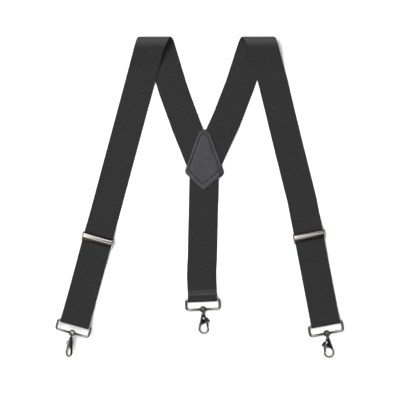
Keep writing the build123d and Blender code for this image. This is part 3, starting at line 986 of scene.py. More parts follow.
def trimmed(piece, point, outward):
    """Cut away what lies beyond a plane, and close the cut."""
    work = bmesh.new()
    work.from_mesh(piece.data)
    everything = work.verts[:] + work.edges[:] + work.faces[:]
    bmesh.ops.bisect_plane(
        work, geom=everything, plane_co=point, plane_no=outward, clear_outer=True, dist=1e-7
    )
    bmesh.ops.holes_fill(work, edges=[edge for edge in work.edges if edge.is_boundary])
    bmesh.ops.recalc_face_normals(work, faces=work.faces)
    work.to_mesh(piece.data)
    work.free()
    piece.data.set_sharp_from_angle(angle=radians(50))
    return piece


def climb_to_nip(piece, adjuster, down):
    """Raise the strap's last stretch to the height of its adjuster's nip."""
    for vertex in piece.data.vertices:
        share = eased((vertex.co - adjuster).dot(down), *LEAD_IN)
        vertex.co.z += (NIP_MID - FLOOR_MID) * share
    piece.data.update()


# %% Make the shoulder straps
def fold_painted_highlight(p):
    """Painted highlight over the top of the shoulder fold, where the light falls on its curve."""
    top = cad_high.y
    return eased(p.y, top - FOLD_FADE, top - FOLD_BAND) * eased(p.z, FOLD_R, 1.4 * FOLD_R)


def shoulder_strap(name):
    """One shoulder strap, as the fixed part and the front part that its adjuster pulls."""
    adjuster = ADJUSTER_POINTS[name]
    down = direction_of(f"{name}_adjuster_slide")
    nip = adjuster - down * NIP_Y
    drape = shoulder_drape(nip.y - WEB_W)
    back = [(p.x, on_sheet(drape, p.y, False)) for p in BACK_LEGS[name]]
    above_nip = [adjuster - down * distance for distance in FRONT_LEADS]
    front_points = FRONT_LEGS[name] + (above_nip if name == "right" else above_nip[1:]) + [nip]
    front = [(p.x, on_sheet(drape, p.y, True)) for p in front_points]
    route = rounded(back + front, BEND_R, degrees=0.5)
    upper, lower = cut_line(route, on_sheet(drape, SPLIT_Y, True))
    fixed = woven(f"{name}_shoulder_webbing", upper, drape)
    sliding = woven(f"{name}_front_webbing", lower, drape, lengths_along(upper)[-1])
    side = -1 if name == "left" else 1
    trimmed(fixed, (0, PATCH_SPLIT_Y + MITRE_GAP / 2, 0), (0, -1, 0))
    trimmed(fixed, (MITRE_X + side * MITRE_GAP / 2, 0, 0), (-side, 0, 0))
    climb_to_nip(sliding, adjuster, down)
    # Painted highlight over the top of the shoulder fold.
    marked(fixed, "fold_stretch", fold_painted_highlight)
    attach(fixed, "harness")
    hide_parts(f"{name}_strap")
    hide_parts(f"{name}_strap")
    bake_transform(sliding)
    print(name, "strap:", round(lengths_along(route)[-1] / MM), "mm of webbing")


for name in STRAP_ENDS:
    shoulder_strap(name)

# %% [markdown]
# ## Doubled ends
# Below each adjuster the webbing runs down, round the ring's bar and back underneath, and its tail
# turns over a hidden bar of the adjuster and is sewn down. It is the same rule with a straight
# route: only the side view is new, drawn in the strap's own directions. The left ring stands a
# little off the table, because its hook lies on its side, so the left end slopes up to it.

# %% Make the doubled ends
LOOP_RISE = {"left": 6.0, "right": 0.0}
WRAP_R = 2.75 * MM
SEWN_WRAP_R = 1.45 * MM
SEWN_BAR_Z = FLOOR_MID + SEWN_WRAP_R
SEWN_TURN = 6.1 * MM
TAIL_END = 29 * MM


def loop_drape(length, bar_z, rise_degrees):
    """Side view of a doubled end: y runs up the strap from the adjuster's middle."""
    rise = radians(rise_degrees)
    up_slope = Vector((cos(rise), -sin(rise)))
    off_slope = Vector((sin(rise), cos(rise)))
    bar = Vector((-length, bar_z))
    on_top = SECOND_MID - FLOOR_MID - WRAP_R

    def from_bar(back, off):
        """A point up the slope from the bar, and off it."""
        return bar + up_slope * back + off_slope * off

    top_run = mm((4.5, 5.4), (-10, 5.4), (-30, 4.3)) + [Vector((-46 * MM, SECOND_MID))]
    low_run = []
    if rise:
        top_run.append(from_bar((bar_z + on_top * cos(rise) - SECOND_MID) / sin(rise), on_top))
        low_run.append(from_bar((bar_z - WRAP_R * cos(rise) - FLOOR_MID) / sin(rise), -WRAP_R))
    top_run += [from_bar(24 * MM, on_top), from_bar(5 * MM, WRAP_R), from_bar(0, WRAP_R)]
    low_run = [from_bar(0, -WRAP_R)] + low_run + [Vector((-SEWN_TURN, FLOOR_MID))]
    tail_z = SEWN_BAR_Z + SEWN_WRAP_R
    tail = [
        (-SEWN_TURN, tail_z),
        (-SEWN_TURN - 3 * MM, tail_z),
        (-15 * MM, SECOND_MID),
        (-TAIL_END, SECOND_MID),
    ]
    return (
        rounded(top_run, DRAPE_R)
        + arc(bar, WRAP_R, 90 + rise_degrees, 180, 12)[1:-1]
        + rounded(low_run, DRAPE_R)
        + arc((-SEWN_TURN, SEWN_BAR_Z), SEWN_WRAP_R, -90, 180, 15)[1:-1]
        + rounded(tail, DRAPE_R / 4)
    )


for name in STRAP_ENDS:
    adjuster = ADJUSTER_POINTS[name]
    down = direction_of(f"{name}_adjuster_slide")
    bar = point_of(f"{name}_ring_hinge")
    drape = loop_drape((bar - adjuster).dot(down), bar.z, LOOP_RISE[name])
    run = lengths_along(drape)[-1]
    loop = woven(f"{name}_end_webbing", [Vector((0, 0)), Vector((0, run))], drape, 0.4)
    put(loop, STRAP_ENDS[name])
    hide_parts(f"{name}_loop")
    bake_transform(loop)
    print(name, "doubled end:", round(run / MM), "mm of webbing")

# %% [markdown]
# ## Back strap
# The back strap leaves the patch, steps down to the table and runs nearly straight to its ring. Its
# tail is folded back over the bar on the upper face, which leaves the low ridge across its end. A
# painted highlight makes the ridge a little paler.

# %% Make the back strap
BACK_TAIL = 10.8 * MM
BACK_LEAD = 48 * MM
BACK_RAMP = (8 * MM, -20 * MM)
BACK_MIDDLE = mm((8.6, 60.0), (4.7, -100.0))
BACK_BAR = point_of("back_ring_hinge")
BACK_ACROSS = -direction_of("back_ring_hinge")
BACK_UP = Vector((0, 0, 1)).cross(BACK_ACROSS)
BACK_END = placed(Vector((BACK_BAR.x, BACK_BAR.y, 0)), BACK_ACROSS, BACK_UP)


def back_drape():
    """Side view of the back strap, from the patch down and round its bar."""
    top_y, ramp_start, ramp_end = (y - BACK_BAR.y for y in (BACK_MIDDLE[0].y, *BACK_RAMP))
    bar_z = FLOOR_MID + WRAP_R
    tail = [
        (0, bar_z + WRAP_R),
        (2 * MM, bar_z + WRAP_R),
        (8.2 * MM, SECOND_MID),
        (BACK_TAIL, SECOND_MID),
    ]
    run = [
        (top_y, SEWN_MID),
        (ramp_start, SEWN_MID),
        (ramp_end, FLOOR_MID),
        (0, FLOOR_MID),
    ]
    turn = arc((0, bar_z), WRAP_R, -90, -180, 12)[1:-1]
    return rounded(run, DRAPE_R) + turn + rounded(tail, 2.5 * MM, degrees=10)


def hem_painted_highlight(p):
    """Painted highlight on the ridge where the folded tail ends and lifts the webbing."""
    if p.z < FLOOR_MID:
        return 0.0
    ridge = eased(p.y, 7.0 * MM, 9.6 * MM) * (1 - eased(p.y, 10.6 * MM, 12.6 * MM))
    slope = eased(p.y, 8.0 * MM, 10.0 * MM) * (1 - eased(p.y, 15.0 * MM, 18.5 * MM))
    return max(1.2 * ridge, 0.55 * slope)


def back_strap():
    """The back strap, trimmed where the shoulder straps meet it under the patch."""
    drape = back_drape()
    runs = lengths_along(drape)
    heights = [point.x for point in drape]
    bar_run = runs[int(np.argmin(heights))]
    to_local = BACK_END.inverted()
    route = []
    for point in BACK_MIDDLE:
        local = to_local @ Vector((point.x, point.y, 0))
        route.append((local.x, bar_run - local.y))
    route += [(0, bar_run - BACK_LEAD), (0, runs[-1])]
    route[0] = (route[0][0], 0)
    strap = woven("back_webbing", rounded(route, BEND_R, degrees=0.5), drape, 0.8)
    # Painted highlight on the hem's ridge.
    marked(strap, "fold_stretch", hem_painted_highlight)
    put(strap, BACK_END)
    trimmed(strap, (0, PATCH_SPLIT_Y - MITRE_GAP / 2, 0), (0, 1, 0))
    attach(strap, "harness")
    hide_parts("back_strap")


back_strap()
bpy.data.objects.remove(SECTION)

# %% [markdown]
# ## Leather patch
# The patch is two kites of leather, sewn together round the straps. On the real one the upper
# leather follows what is under it: it sits high over the webbing and drops onto the lower leather
# at the two side corners. Its edge is cut and dyed, the stitching pulls a groove 5.5 mm inside it,
# and the leather swells on both sides of the groove. The mesh is rings of points, each ring the
# same kite moved inwards, so edge, swell and groove are simply rings at chosen heights.

# %% The kite and what lies under it
KITE = [
    (Vector((8.8, 137.0)) * MM, 11.4 * MM),
    (Vector((43.3, 39.4)) * MM, 9.0 * MM),
    (Vector((7.5, 10.4)) * MM, 6.0 * MM),
    (Vector((-25.8, 41.5)) * MM, 8.0 * MM),
]
BORDER_SHARE = (1.0, 1.55, 1.55, 1.0)
CORNER_SHARE = (0.7, 1.0, 1.0, 1.0)
GROOVE_INSET = 5.5 * MM
GROOVE_REACH = 0.9 * MM
UNDER_TOP = SEWN_MID + WEB_T / 2
LEATHER_DROP = 5 * MM
# The span over which the painted shade on the tip's border rises.
TIP_DARKENS = (101 * MM, 109 * MM)
CORNER_POINTS = 14
SIDE_POINTS = 44


def meeting_point(first, first_run, second, second_run):
    """Where two lines, each a point and a direction, cross."""
    reach = (second - first).cross(second_run) / first_run.cross(second_run)
    return first + first_run * reach


def kite_ring(inset):
    """The kite's outline moved inwards, always with the same number of points."""
    sides = []
    for n, (corner, _) in enumerate(KITE):
        run = (KITE[(n + 1) % len(KITE)][0] - corner).normalized()
        inwards = Vector((run.y, -run.x))
        sides.append((corner + inwards * inset * BORDER_SHARE[n], run))
    arcs = []
    for n, (_, radius) in enumerate(KITE):
        corner = meeting_point(*sides[n - 1], *sides[n])
        before, after = -sides[n - 1][1], sides[n][1]
        bend = max(radius - inset * CORNER_SHARE[n], 0.5 * MM)
        inwards = (before + after).normalized()
        centre = corner + inwards * bend / sin(before.angle(after) / 2)
        ends = []
        for run in (before, after):
            square = Vector((-run.y, run.x))
            ends.append(square if square.dot(inwards) < 0 else -square)
        turns = [k / (CORNER_POINTS - 1) for k in range(CORNER_POINTS)]
        arcs.append([centre + ends[0].slerp(ends[1], turn) * bend for turn in turns])
    ring = []
    for n, corner_points in enumerate(arcs):
        start = corner_points[-1]
        end = arcs[(n + 1) % len(arcs)][0]
        ring += corner_points
        ring += [start.lerp(end, k / SIDE_POINTS) for k in range(1, SIDE_POINTS)]
    return ring


def cover(point, start, end, above_split):
    """How far inside a strap's edges a point is, negative outside."""
    if (point.y > PATCH_SPLIT_Y) != above_split:
        return -WEB_W
    run = (end - start).normalized()
    return WEB_W / 2 - abs(run.cross(point - start))


def leather_base(point):
    """Height of the underside of the upper leather: over the webbing, or down beside it."""
    inside = max(
        cover(point, *[p.xy for p in BACK_LEGS["left"][:2]], True),
        cover(point, *[p.xy for p in BACK_LEGS["right"][:2]], True),
        cover(point, *[p.xy for p in BACK_MIDDLE], False),
    )
    return LEATHER_T + (UNDER_TOP - LEATHER_T) * eased(inside, -LEATHER_DROP, 0)


# %% Make the two leathers
UPPER_PROFILE = mm(
    (0.5, 0), (0.12, 0.2), (0, 0.6), (0.1, 1.0), (0.45, 1.28), (1.1, 1.5), (2.0, 1.68),
    (3.0, 1.72), (3.9, 1.6), (4.6, 1.32), (5.1, 0.98), (5.5, 0.84), (5.9, 0.98), (6.4, 1.28),
    (7.2, 1.52), (8.5, 1.62), (10.0, 1.62), (12.0, 1.58), (14.0, 1.55), (16.0, 1.54),
    (18.0, 1.54),
)
LOWER_PROFILE = mm(
    (0.4, 1.4), (0.1, 1.2), (0, 0.8), (0.1, 0.35), (0.4, 0.1), (0.9, 0), (4.8, 0), (5.2, 0.3),
    (5.5, 0.4), (5.8, 0.3), (6.2, 0), (9.0, 0), (13.0, 0), (17.0, 0),
)


TO_MIDDLE = (0.8, 0.6, 0.4, 0.2, 0.02)
CLOSING_INSETS = [inset * MM for inset in (17, 13, 9, 6, 3, 1)]
# How dark the painted shade on the tip's border is.
PAINTED_TIP_SHADE = 0.6


def leather_sheet(name, profile, under, closing_height):
    """A kite of leather from (inset, height) rings, closed by its own other face."""
    def ring(spots, rise):
        """The spots at a height above what is under them."""
        return [Vector((*p, rise + under(p))) for p in spots]

    loops = [ring(kite_ring(inset), rise) for inset, rise in profile]
    face = [p.xy for p in loops[-1]]
    middle = sum(face, Vector((0, 0))) / len(face)
    inner = [[middle.lerp(p, share) for p in face] for share in TO_MIDDLE]
    loops += [ring(spots, profile[-1].y) for spots in inner]
    other = [ring(spots, closing_height) for spots in reversed(inner)]
    other += [ring(kite_ring(inset), closing_height) for inset in CLOSING_INSETS]
    piece = loft(name, other + loops)
    depths = [0.0] * len(other) + [p.x for p in profile] + [1.0] * len(inner)
    # Painted shade in the groove and on the border near the tip, where it turns away from the light.
    shades = []
    for n, vertex in enumerate(piece.data.vertices):
        depth = depths[n // len(face)]
        groove = max(1 - abs(depth - GROOVE_INSET) / GROOVE_REACH, 0.0)
        rim = PAINTED_TIP_SHADE * eased(vertex.co.y, *TIP_DARKENS) if depth < GROOVE_INSET + MM else 0
        shades.append(max(groove, rim))
    layer = piece.data.attributes.new("groove_shade", "FLOAT", "POINT")
    layer.data.foreach_set("value", shades)
    return dressed(smoothed(piece, 70), "patch_leather")


upper_leather = leather_sheet("patch_upper_leather", UPPER_PROFILE, leather_base, 0)
lower_leather = leather_sheet("patch_lower_leather", LOWER_PROFILE, lambda point: 0, LEATHER_T)
for piece, node in ((upper_leather, "patch_inner"), (lower_leather, "patch_outer")):
    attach(piece, "harness")
    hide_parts(node)
print("patch:", len(upper_leather.data.polygons), "faces in its upper leather")

# %% [markdown]
# ## Stitching
# Every seam is the same thing: short rounded stitches, evenly spaced along a line, each lying along
# it. That is a job for instances on a curve. The tree spaces points at the stitch pitch, puts one
# small stitch on each, turns it along the line, and realizes the lot into one mesh.


# %% The stitch tree
def stitch_tree():
    """One small rounded stitch at every pitch of a seam, turned along it."""
    tree, given, result = new_tree(
        "Row of stitches",
        "GeometryNodeTree",
        [
            ("Seam", "Geometry", None),
            ("Pitch", "Float", 3 * MM),
            ("Thread", "Float", 0.35 * MM),
            ("Finish", "Material", None),
        ],
        [("Stitches", "Geometry")],
    )
    spaced = add_node(
        tree,
        "GeometryNodeResampleCurve",
        {"Curve": given["Seam"], "Length": given["Pitch"]},
        mode="LENGTH",
    ).outputs[0]
    stitch = add_node(
        tree, "GeometryNodeMeshUVSphere", {"Segments": 8, "Rings": 6, "Radius": 1.0}
    ).outputs["Mesh"]
    tangent = add_node(tree, "GeometryNodeInputTangent").outputs[0]
    along = add_node(
        tree, "FunctionNodeAlignRotationToVector", {"Vector": tangent}, axis="X"
    ).outputs[0]
    half_length = calc(tree, "MULTIPLY", given["Pitch"], 0.44)
    half_height = calc(tree, "MULTIPLY", given["Thread"], 0.8)
    size = combined(tree, X=half_length, Y=given["Thread"], Z=half_height)
    laid = add_node(
        tree,
        "GeometryNodeInstanceOnPoints",
        {"Points": spaced, "Instance": stitch, "Rotation": along, "Scale": size},
    ).outputs[0]
    return end_tree(tree, laid, given["Finish"], result["Stitches"])


STITCHING = stitch_tree()


def sewn(name, seam, body, node, pitch=3 * MM, thread=0.35 * MM, closed=False, matrix=None):
    """A row of stitches along a seam, standing for the frame's plain thread."""
    piece = run_tree(
        line_object(name, seam, closed),
        STITCHING,
        Pitch=pitch,
        Thread=thread,
        Finish=FINISHES["thread"],
    )
    if matrix is not None:
        put(piece, matrix)
    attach(piece, body)
    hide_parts(node)
    return piece


# %% Sew the patch, the hem and the doubled ends
PATCH_PITCH = 3.2 * MM
groove = kite_ring(GROOVE_INSET)
seams = {
    "upper": [Vector((*p, leather_base(p) + 0.95 * MM)) for p in groove],
    "lower": [Vector((*p, 0.42 * MM)) for p in groove],
}
for name, seam in seams.items():
    sewn(f"patch_{name}_stitches", seam, "harness", "patch_stitches", PATCH_PITCH, closed=True)

HEM_Z = SECOND_MID + WEB_T / 2
HEM_HALF_W = WEB_W / 2 - 2 * MM
HEM_Y = BACK_TAIL - 1.2 * MM
HEM_PITCH = 2.2 * MM
hem = [Vector((x, HEM_Y, HEM_Z)) for x in (-HEM_HALF_W, HEM_HALF_W)]
sewn("back_hem_stitching", hem, "harness", "back_hem_stitches", HEM_PITCH, 0.3 * MM,
     matrix=BACK_END)

BOX_HALF_W = 20.6 * MM
BOX_HALF_H = 4.1 * MM
BOX_MIDDLE = -22.5 * MM
for name, matrix in STRAP_ENDS.items():
    corners = [
        Vector((x * BOX_HALF_W, BOX_MIDDLE + y * BOX_HALF_H, HEM_Z))
        for x, y in ((-1, -1), (1, -1), (1, 1), (-1, 1), (-1, -1), (1, 1), (-1, 1), (1, -1))
    ]
    sewn(f"{name}_tail_stitching", corners, f"{name}_adjuster", f"{name}_loop_stitches",
         HEM_PITCH, 0.25 * MM, matrix=matrix)

# %% [markdown]
# ## Rings
# Each ring is one bent wire, 3.8 mm thick, whose lower bar ends in a round eye. The wire is a round
# section carried along a line with rounded corners. The eye is a thick hoop turned about its own
# middle, and the two are made one, with a hole down through the eye for the hook's rivet.


# %% Wire and hoop
def wire(name, path, radius, sides=20):
    """A round wire along a line that lies in the XY plane."""
    rings = []
    for n, point in enumerate(path):
        ahead = path[min(n + 1, len(path) - 1)] - path[max(n - 1, 0)]
        side = Vector((-ahead.y, ahead.x)).normalized()
        angles = [2 * pi * k / sides for k in range(sides)]
        flat = [point.xy + side * radius * cos(a) for a in angles]
        rings.append([Vector((*p, radius * sin(a))) for p, a in zip(flat, angles)])
    return loft(name, rings)


def hoop(name, section, sides=48):
    """A closed section of (radius, z) points turned about the Z axis."""
    rings = []
    for k in range(sides):
        a = 2 * pi * k / sides
        rings.append([Vector((r * cos(a), r * sin(a), z)) for r, z in section])
    return loft(name, rings, closed=True)


def rod(name, radius, start, end, matrix, sides=32):
    """A plain round rod along Y, used to cut holes."""
    outline = [(0, start), (radius, start), (radius, end), (0, end)]
    return put(turned_on_lathe(name, outline, sides), matrix)


# %% Make the rings
WIRE_D = 3.8 * MM
RING_W = 60.9 * MM
RING_PITCH = 16.2 * MM
EYE_R = 5.5 * MM
WINDOW_R = 2.8 * MM
EYE_HALF_T = 2.5 * MM
EYE_HOLE_R = 1.7 * MM
EYE_ROUNDING = 1.3 * MM
EYE_JOIN_X = 4.2 * MM
RING_CORNERS = (2.2 * MM, 4.1 * MM)


def ring_painted_shade(p):
    """Painted shade on the eye and on the sides of the wire, standing in for dark reflections; none on
    the crown.
    """
    in_eye = Vector((p.x, p.y + RING_PITCH)).length < EYE_R + 0.3 * MM
    on_side = eased(abs(p.x), RING_W / 2 - 6 * MM, RING_W / 2 - 3 * MM)
    if in_eye:
        return max(0.85, 1 - eased(abs(p.z), 0.85 * EYE_HALF_T, EYE_HALF_T))
    return max(1 - eased(abs(p.z), 0.72 * WIRE_D / 2, 0.95 * WIRE_D / 2), 0.75 * on_side)


def square_ring(name, matrix):
    """A ring: its bent wire, its eye, and the hole for the rivet."""
    half_w = (RING_W - WIRE_D) / 2
    top_right = Vector((half_w, 0))
    low_right = Vector((half_w, -RING_PITCH))
    low_end = Vector((EYE_JOIN_X, -RING_PITCH))
    right = corner_arc(Vector((0, 0)), top_right, low_right, RING_CORNERS[0], 12)
    right += corner_arc(top_right, low_right, low_end, RING_CORNERS[1], 9)
    right += [low_end]
    left = [Vector((-p.x, p.y)) for p in reversed(right)]
    bent = wire(f"{name}_end_ring", left + right, WIRE_D / 2)
    thick = EYE_HALF_T
    section = [(EYE_R, -thick), (EYE_R, thick), (WINDOW_R, thick), (WINDOW_R, -thick)]
    eye = hoop("eye", rounded_outline(section, EYE_ROUNDING, 18))
    put(eye, Matrix.Translation((0, -RING_PITCH, 0)))
    ring = joined(f"{name}_end_ring", bent, eye)
    hole = rod("hole", EYE_HOLE_R, -RING_PITCH - EYE_R - MM, -RING_PITCH, Matrix.Identity(4))
    ring = joined(f"{name}_end_ring", ring, hole, "DIFFERENCE")
    # Painted shade on the eye and the sides of the wire.
    marked(ring, "plating_shade", ring_painted_shade)
    return dressed(put(ring, matrix), "ring_metal")


for name, matrix in RINGS.items():
    ring = square_ring(name, matrix)
    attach(ring, f"{name}_end_ring")
    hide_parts(f"{name}_ring")
print("rings:", len(ring.data.polygons), "faces each")

# %% [markdown]
# ## Snap hooks
# A snap hook is a small casting, so nothing on it is sharp. Its body is one skin lofted along its
# own middle: a neck, a thick block for the trigger, and then a bow that thins and curls round to a
# tip. At each station two points say where the outer and the inner edge are, and two numbers say how
# thick and how square it is. A slot is cut in the block, and the trigger turns in it on a small pin.
# A leaf spring sits behind it.

# %% The casting
BOW = Vector((0.8, 32.7)) * MM
BOW_MID_R = 7.7 * MM
BOW_HALF_W = 1.45 * MM
BOW_HALF_T = 2.0 * MM
PIVOT = Vector((1.5, 15.5)) * MM
SECTION_POINTS = 28


def cast_section(outer, inner, half_t, squareness):
    """A rounded section between two edge points: an ellipse, squarer as the exponent grows."""
    centre = (outer + inner) / 2
    reach = (outer - inner) / 2
    ring = []
    for k in range(SECTION_POINTS):
        a = 2 * pi * k / SECTION_POINTS
        wide = abs(cos(a)) ** (2 / squareness) * (1 if cos(a) >= 0 else -1)
        high = abs(sin(a)) ** (2 / squareness) * (1 if sin(a) >= 0 else -1)
        ring.append(Vector((*(centre + reach * wide), half_t * high)))
    return ring


# Each station, in millimetres: outer edge, inner edge and half thickness, and how square it is.
BODY_STATIONS = [
    ((-0.6, 6.9), (0.6, 6.9), 0.6, 2.2),
    ((-1.9, 7.0), (1.9, 7.0), 1.7, 2.4),
    ((-2.7, 7.6), (2.7, 7.6), 2.1, 2.6),
    ((-3.1, 9.2), (3.1, 9.2), 2.25, 3.0),
    ((-3.6, 11.5), (3.7, 11.5), 2.35, 3.2),
    ((-4.2, 14.0), (4.2, 14.0), 2.4, 3.4),
    ((-4.8, 16.8), (4.8, 16.8), 2.4, 3.4),
    ((-5.4, 19.4), (5.3, 19.2), 2.4, 3.4),
    ((-5.8, 21.4), (5.5, 21.0), 2.4, 3.4),
    ((-6.2, 23.2), (4.9, 22.4), 2.38, 3.2),
    ((-6.6, 24.9), (2.6, 23.9), 2.3, 3.0),
    ((-7.0, 26.4), (-0.6, 25.2), 2.2, 2.8),
    ((-7.3, 27.9), (-3.1, 26.6), 2.1, 2.6),
    ((-7.7, 29.6), (-4.5, 28.9), 2.05, 2.5),
    ((-8.1, 31.2), (-5.2, 30.9), 2.0, 2.5),
]
CHEEKS = BODY_STATIONS[3:-2]
BLOCK_SLOT_HALF = 1.2 * MM
TRIGGER_HALF_T = 1.0 * MM
LEAF_STEP = 0.5 * MM
LEAF_T = 0.3 * MM
LEAF_W = 1.8 * MM
# Painted shade on each hook's trigger and cheeks; the left hook lies turned to the light, so it gets
# little there.
TRIGGER_PAINTED_SHADE = {"left": 0.1, "back": 0.7, "right": 0.7}
CHEEK_PAINTED_SHADE = {"left": 0.05, "back": 0.93, "right": 0.93}


def casting_painted_shade(p, cheek_painted_shade):
    """Painted shade on the sides and the flat cheeks, none on the rounded rims; on the left hook, down
    its spine side instead.
    """
    y = p.y / MM
    side = 1 - eased(abs(p.z), 1.55 * MM, 1.95 * MM)
    if y < CHEEKS[0][0][1]:
        return max(side, 0.6, 0.9 * (1 - cheek_painted_shade))
    for (outer, inner, _, _), (next_outer, next_inner, _, _) in zip(CHEEKS, CHEEKS[1:]):
        if outer[1] <= y < next_outer[1]:
            share = (y - outer[1]) / (next_outer[1] - outer[1])
            left = outer[0] + (next_outer[0] - outer[0]) * share
            right = inner[0] + (next_inner[0] - inner[0]) * share
            across = (2 * p.x / MM - left - right) / (right - left)
            flat = 1 - eased(abs(across), 0.65, 0.92)
            to_spine = 1 - eased(across, 0.1, 0.5)
            return max(side, cheek_painted_shade * flat, 0.9 * to_spine * (1 - cheek_painted_shade))
    if cheek_painted_shade > 0.5:
        return side
    return 0.9 * (1 - eased(p.x, -7.6 * MM, -6.0 * MM)) * (1 - eased(y, 34, 38))


def hook_body(name, matrix):
    """The casting: its lofted body and bow, its collar, and the slot for the trigger."""
    rings = []
    for outer, inner, half_t, squareness in BODY_STATIONS:
        edges = [Vector(point) * MM for point in (outer, inner)]
        rings.append(cast_section(*edges, half_t * MM, squareness))
    for degrees in range(180, 356, 5):
        away = Vector((cos(radians(degrees)), -sin(radians(degrees))))
        taper = 1 - 0.12 * max(0, (degrees - 300) / 60)
        edges = [BOW + away * (BOW_MID_R + s * BOW_HALF_W * taper) for s in (1, -1)]
        rings.append(cast_section(*edges, BOW_HALF_T * taper, 2.5))
    for rise, share in ((0.3, 0.85), (0.55, 0.6), (0.65, 0.25)):
        tip = BOW + Vector((BOW_MID_R, -rise * MM))
        reach = Vector((BOW_HALF_W * 0.9 * share, 0))
        rings.append(cast_section(tip + reach, tip - reach, BOW_HALF_T * 0.9 * share, 2.3))
    body = loft(f"{name}_hook_casting", rings)
    collar_outline = mm(
        (0, 6.2), (1.2, 6.22), (1.9, 6.5), (2.35, 7.1), (2.5, 7.9), (2.45, 8.9), (2.2, 9.6),
        (0, 9.9),
    )
    collar = turned_on_lathe("collar", collar_outline)
    body = joined(body.name, body, collar)
    slot_outline = mm((-2.9, 12.0), (14, 12.0), (14, 30), (-3.4, 30), (-3.4, 20))
    slot = plate("slot", slot_outline, [], -BLOCK_SLOT_HALF, BLOCK_SLOT_HALF)
    body = joined(body.name, body, slot, "DIFFERENCE")
    # Painted shade on the casting's sides and cheeks.
    marked(body, "plating_shade", lambda p: casting_painted_shade(p, CHEEK_PAINTED_SHADE[name]))
    return dressed(put(body, matrix), "hook_metal")


# %% Rivet, trigger and pin
def swivel_rivet(name, matrix):
    """The rivet that holds the hook in the ring's eye and lets it swivel."""
    outline = mm(
        (0, -1.7), (0.7, -1.62), (1.3, -1.3), (1.72, -0.8), (1.9, -0.1), (1.9, 0.7), (1.75, 1.15),
        (1.2, 1.5), (1.2, 8.4), (0, 8.6),
    )
    rivet = settle(turned_on_lathe(f"{name}_hook_rivet", outline, 28))
    # Painted shade on the rivet's shank, below its head.
    marked(rivet, "plating_shade", lambda p: 0.75 * eased(p.y, 0.6 * MM, 1.4 * MM))
    return dressed(put(rivet, matrix), "hook_metal")


def trigger(name, matrix):
    """The trigger with its gate arm, a flat lever with rounded edges."""
    hub = arc(PIVOT, 2.9 * MM, -90, -112, 12)
    blade = mm((4.9, 22.4), (6.1, 31.4), (8.9, 31.9), (8.5, 22.7), (12.0, 19.2), (7.6, 14.4),
               (3.2, 12.9))
    outline = hub + rounded_outline([hub[-1], *blade, hub[0]], 0.9 * MM)[1:-1]
    hole = arc(PIVOT, 1.05 * MM, 0, 345, 15)
    lever = plate(f"{name}_hook_trigger", outline, [hole], -TRIGGER_HALF_T, TRIGGER_HALF_T)
    bevelled(lever, 0.35 * MM)
    # Painted shade over the whole trigger, by hook.
    marked(lever, "plating_shade", lambda p: TRIGGER_PAINTED_SHADE[name])
    return dressed(put(lever, matrix), "hook_metal")


def trigger_pin(name, matrix):
    """The pin that the trigger turns on, with a domed head on each side."""
    outline = mm(
        (0, -2.95), (0.8, -2.9), (1.4, -2.75), (1.85, -2.5), (1.9, -2.35), (1.0, -2.3),
        (1.0, 2.3), (1.9, 2.35), (1.85, 2.5), (1.4, 2.75), (0.8, 2.9), (0, 2.95),
    )
    pin = turned_on_lathe(f"{name}_hook_pin", outline, 24)
    upright = placed(Vector((*PIVOT, 0)), Vector((1, 0, 0)), Vector((0, 0, 1)))
    return dressed(put(settle(pin), matrix @ upright), "hook_metal")


def trigger_spring(name, matrix):
    """The leaf spring behind the trigger, bent from a flat strip."""
    corner = rounded(mm((-2.5, 12.3), (-2.7, 17.8), (0.4, 20.0)), MM, degrees=10)
    path = []
    for start, end in zip(corner, corner[1:]):
        steps = ceil((end - start).length / LEAF_STEP)
        path += [start.lerp(end, k / steps) for k in range(steps)]
    path.append(corner[-1])
    rings = []
    for n, point in enumerate(path):
        ahead = path[min(n + 1, len(path) - 1)] - path[max(n - 1, 0)]
        side = Vector((-ahead.y, ahead.x)).normalized() * LEAF_T / 2
        corners = ((side, 1), (side, -1), (-side, -1), (-side, 1))
        rings.append([Vector((*(point + s).xy, z * LEAF_W / 2)) for s, z in corners])
    leaf = settle(loft(f"{name}_hook_spring", rings))
    return dressed(put(leaf, matrix), "spring_steel")


# %% Make the hooks
for name, matrix in HOOKS.items():
    made = {
        "hook_body": hook_body(name, matrix),
        "swivel_rivet": swivel_rivet(name, matrix),
        "trigger_pin": trigger_pin(name, matrix),
        "trigger": trigger(name, matrix),
    }
    for node, piece in made.items():
        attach(piece, f"{name}_gate" if node == "trigger" else f"{name}_snap_hook")
        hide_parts(f"{name}_{node}")
    leaf = trigger_spring(name, matrix)
    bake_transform(leaf)
    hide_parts(f"{name}_trigger_spring")
print("hook casting:", len(made["hook_body"].data.polygons), "faces")

# %% [markdown]
# ## Adjusters
# An adjuster is pressed from plated sheet: two ears joined by a bar under the strap and by a hidden
# bar that the tail is sewn round, with a cam lever hinged between the ears. The lever's face is
# rolled into two bright beads with a channel between them, and its lip turns down over the strap;
# painted shade darkens the channel, the lip, the lower bead and the tops of the ears. Its barrel has
# a row of small teeth, all alike, so one tooth is instanced along a line.


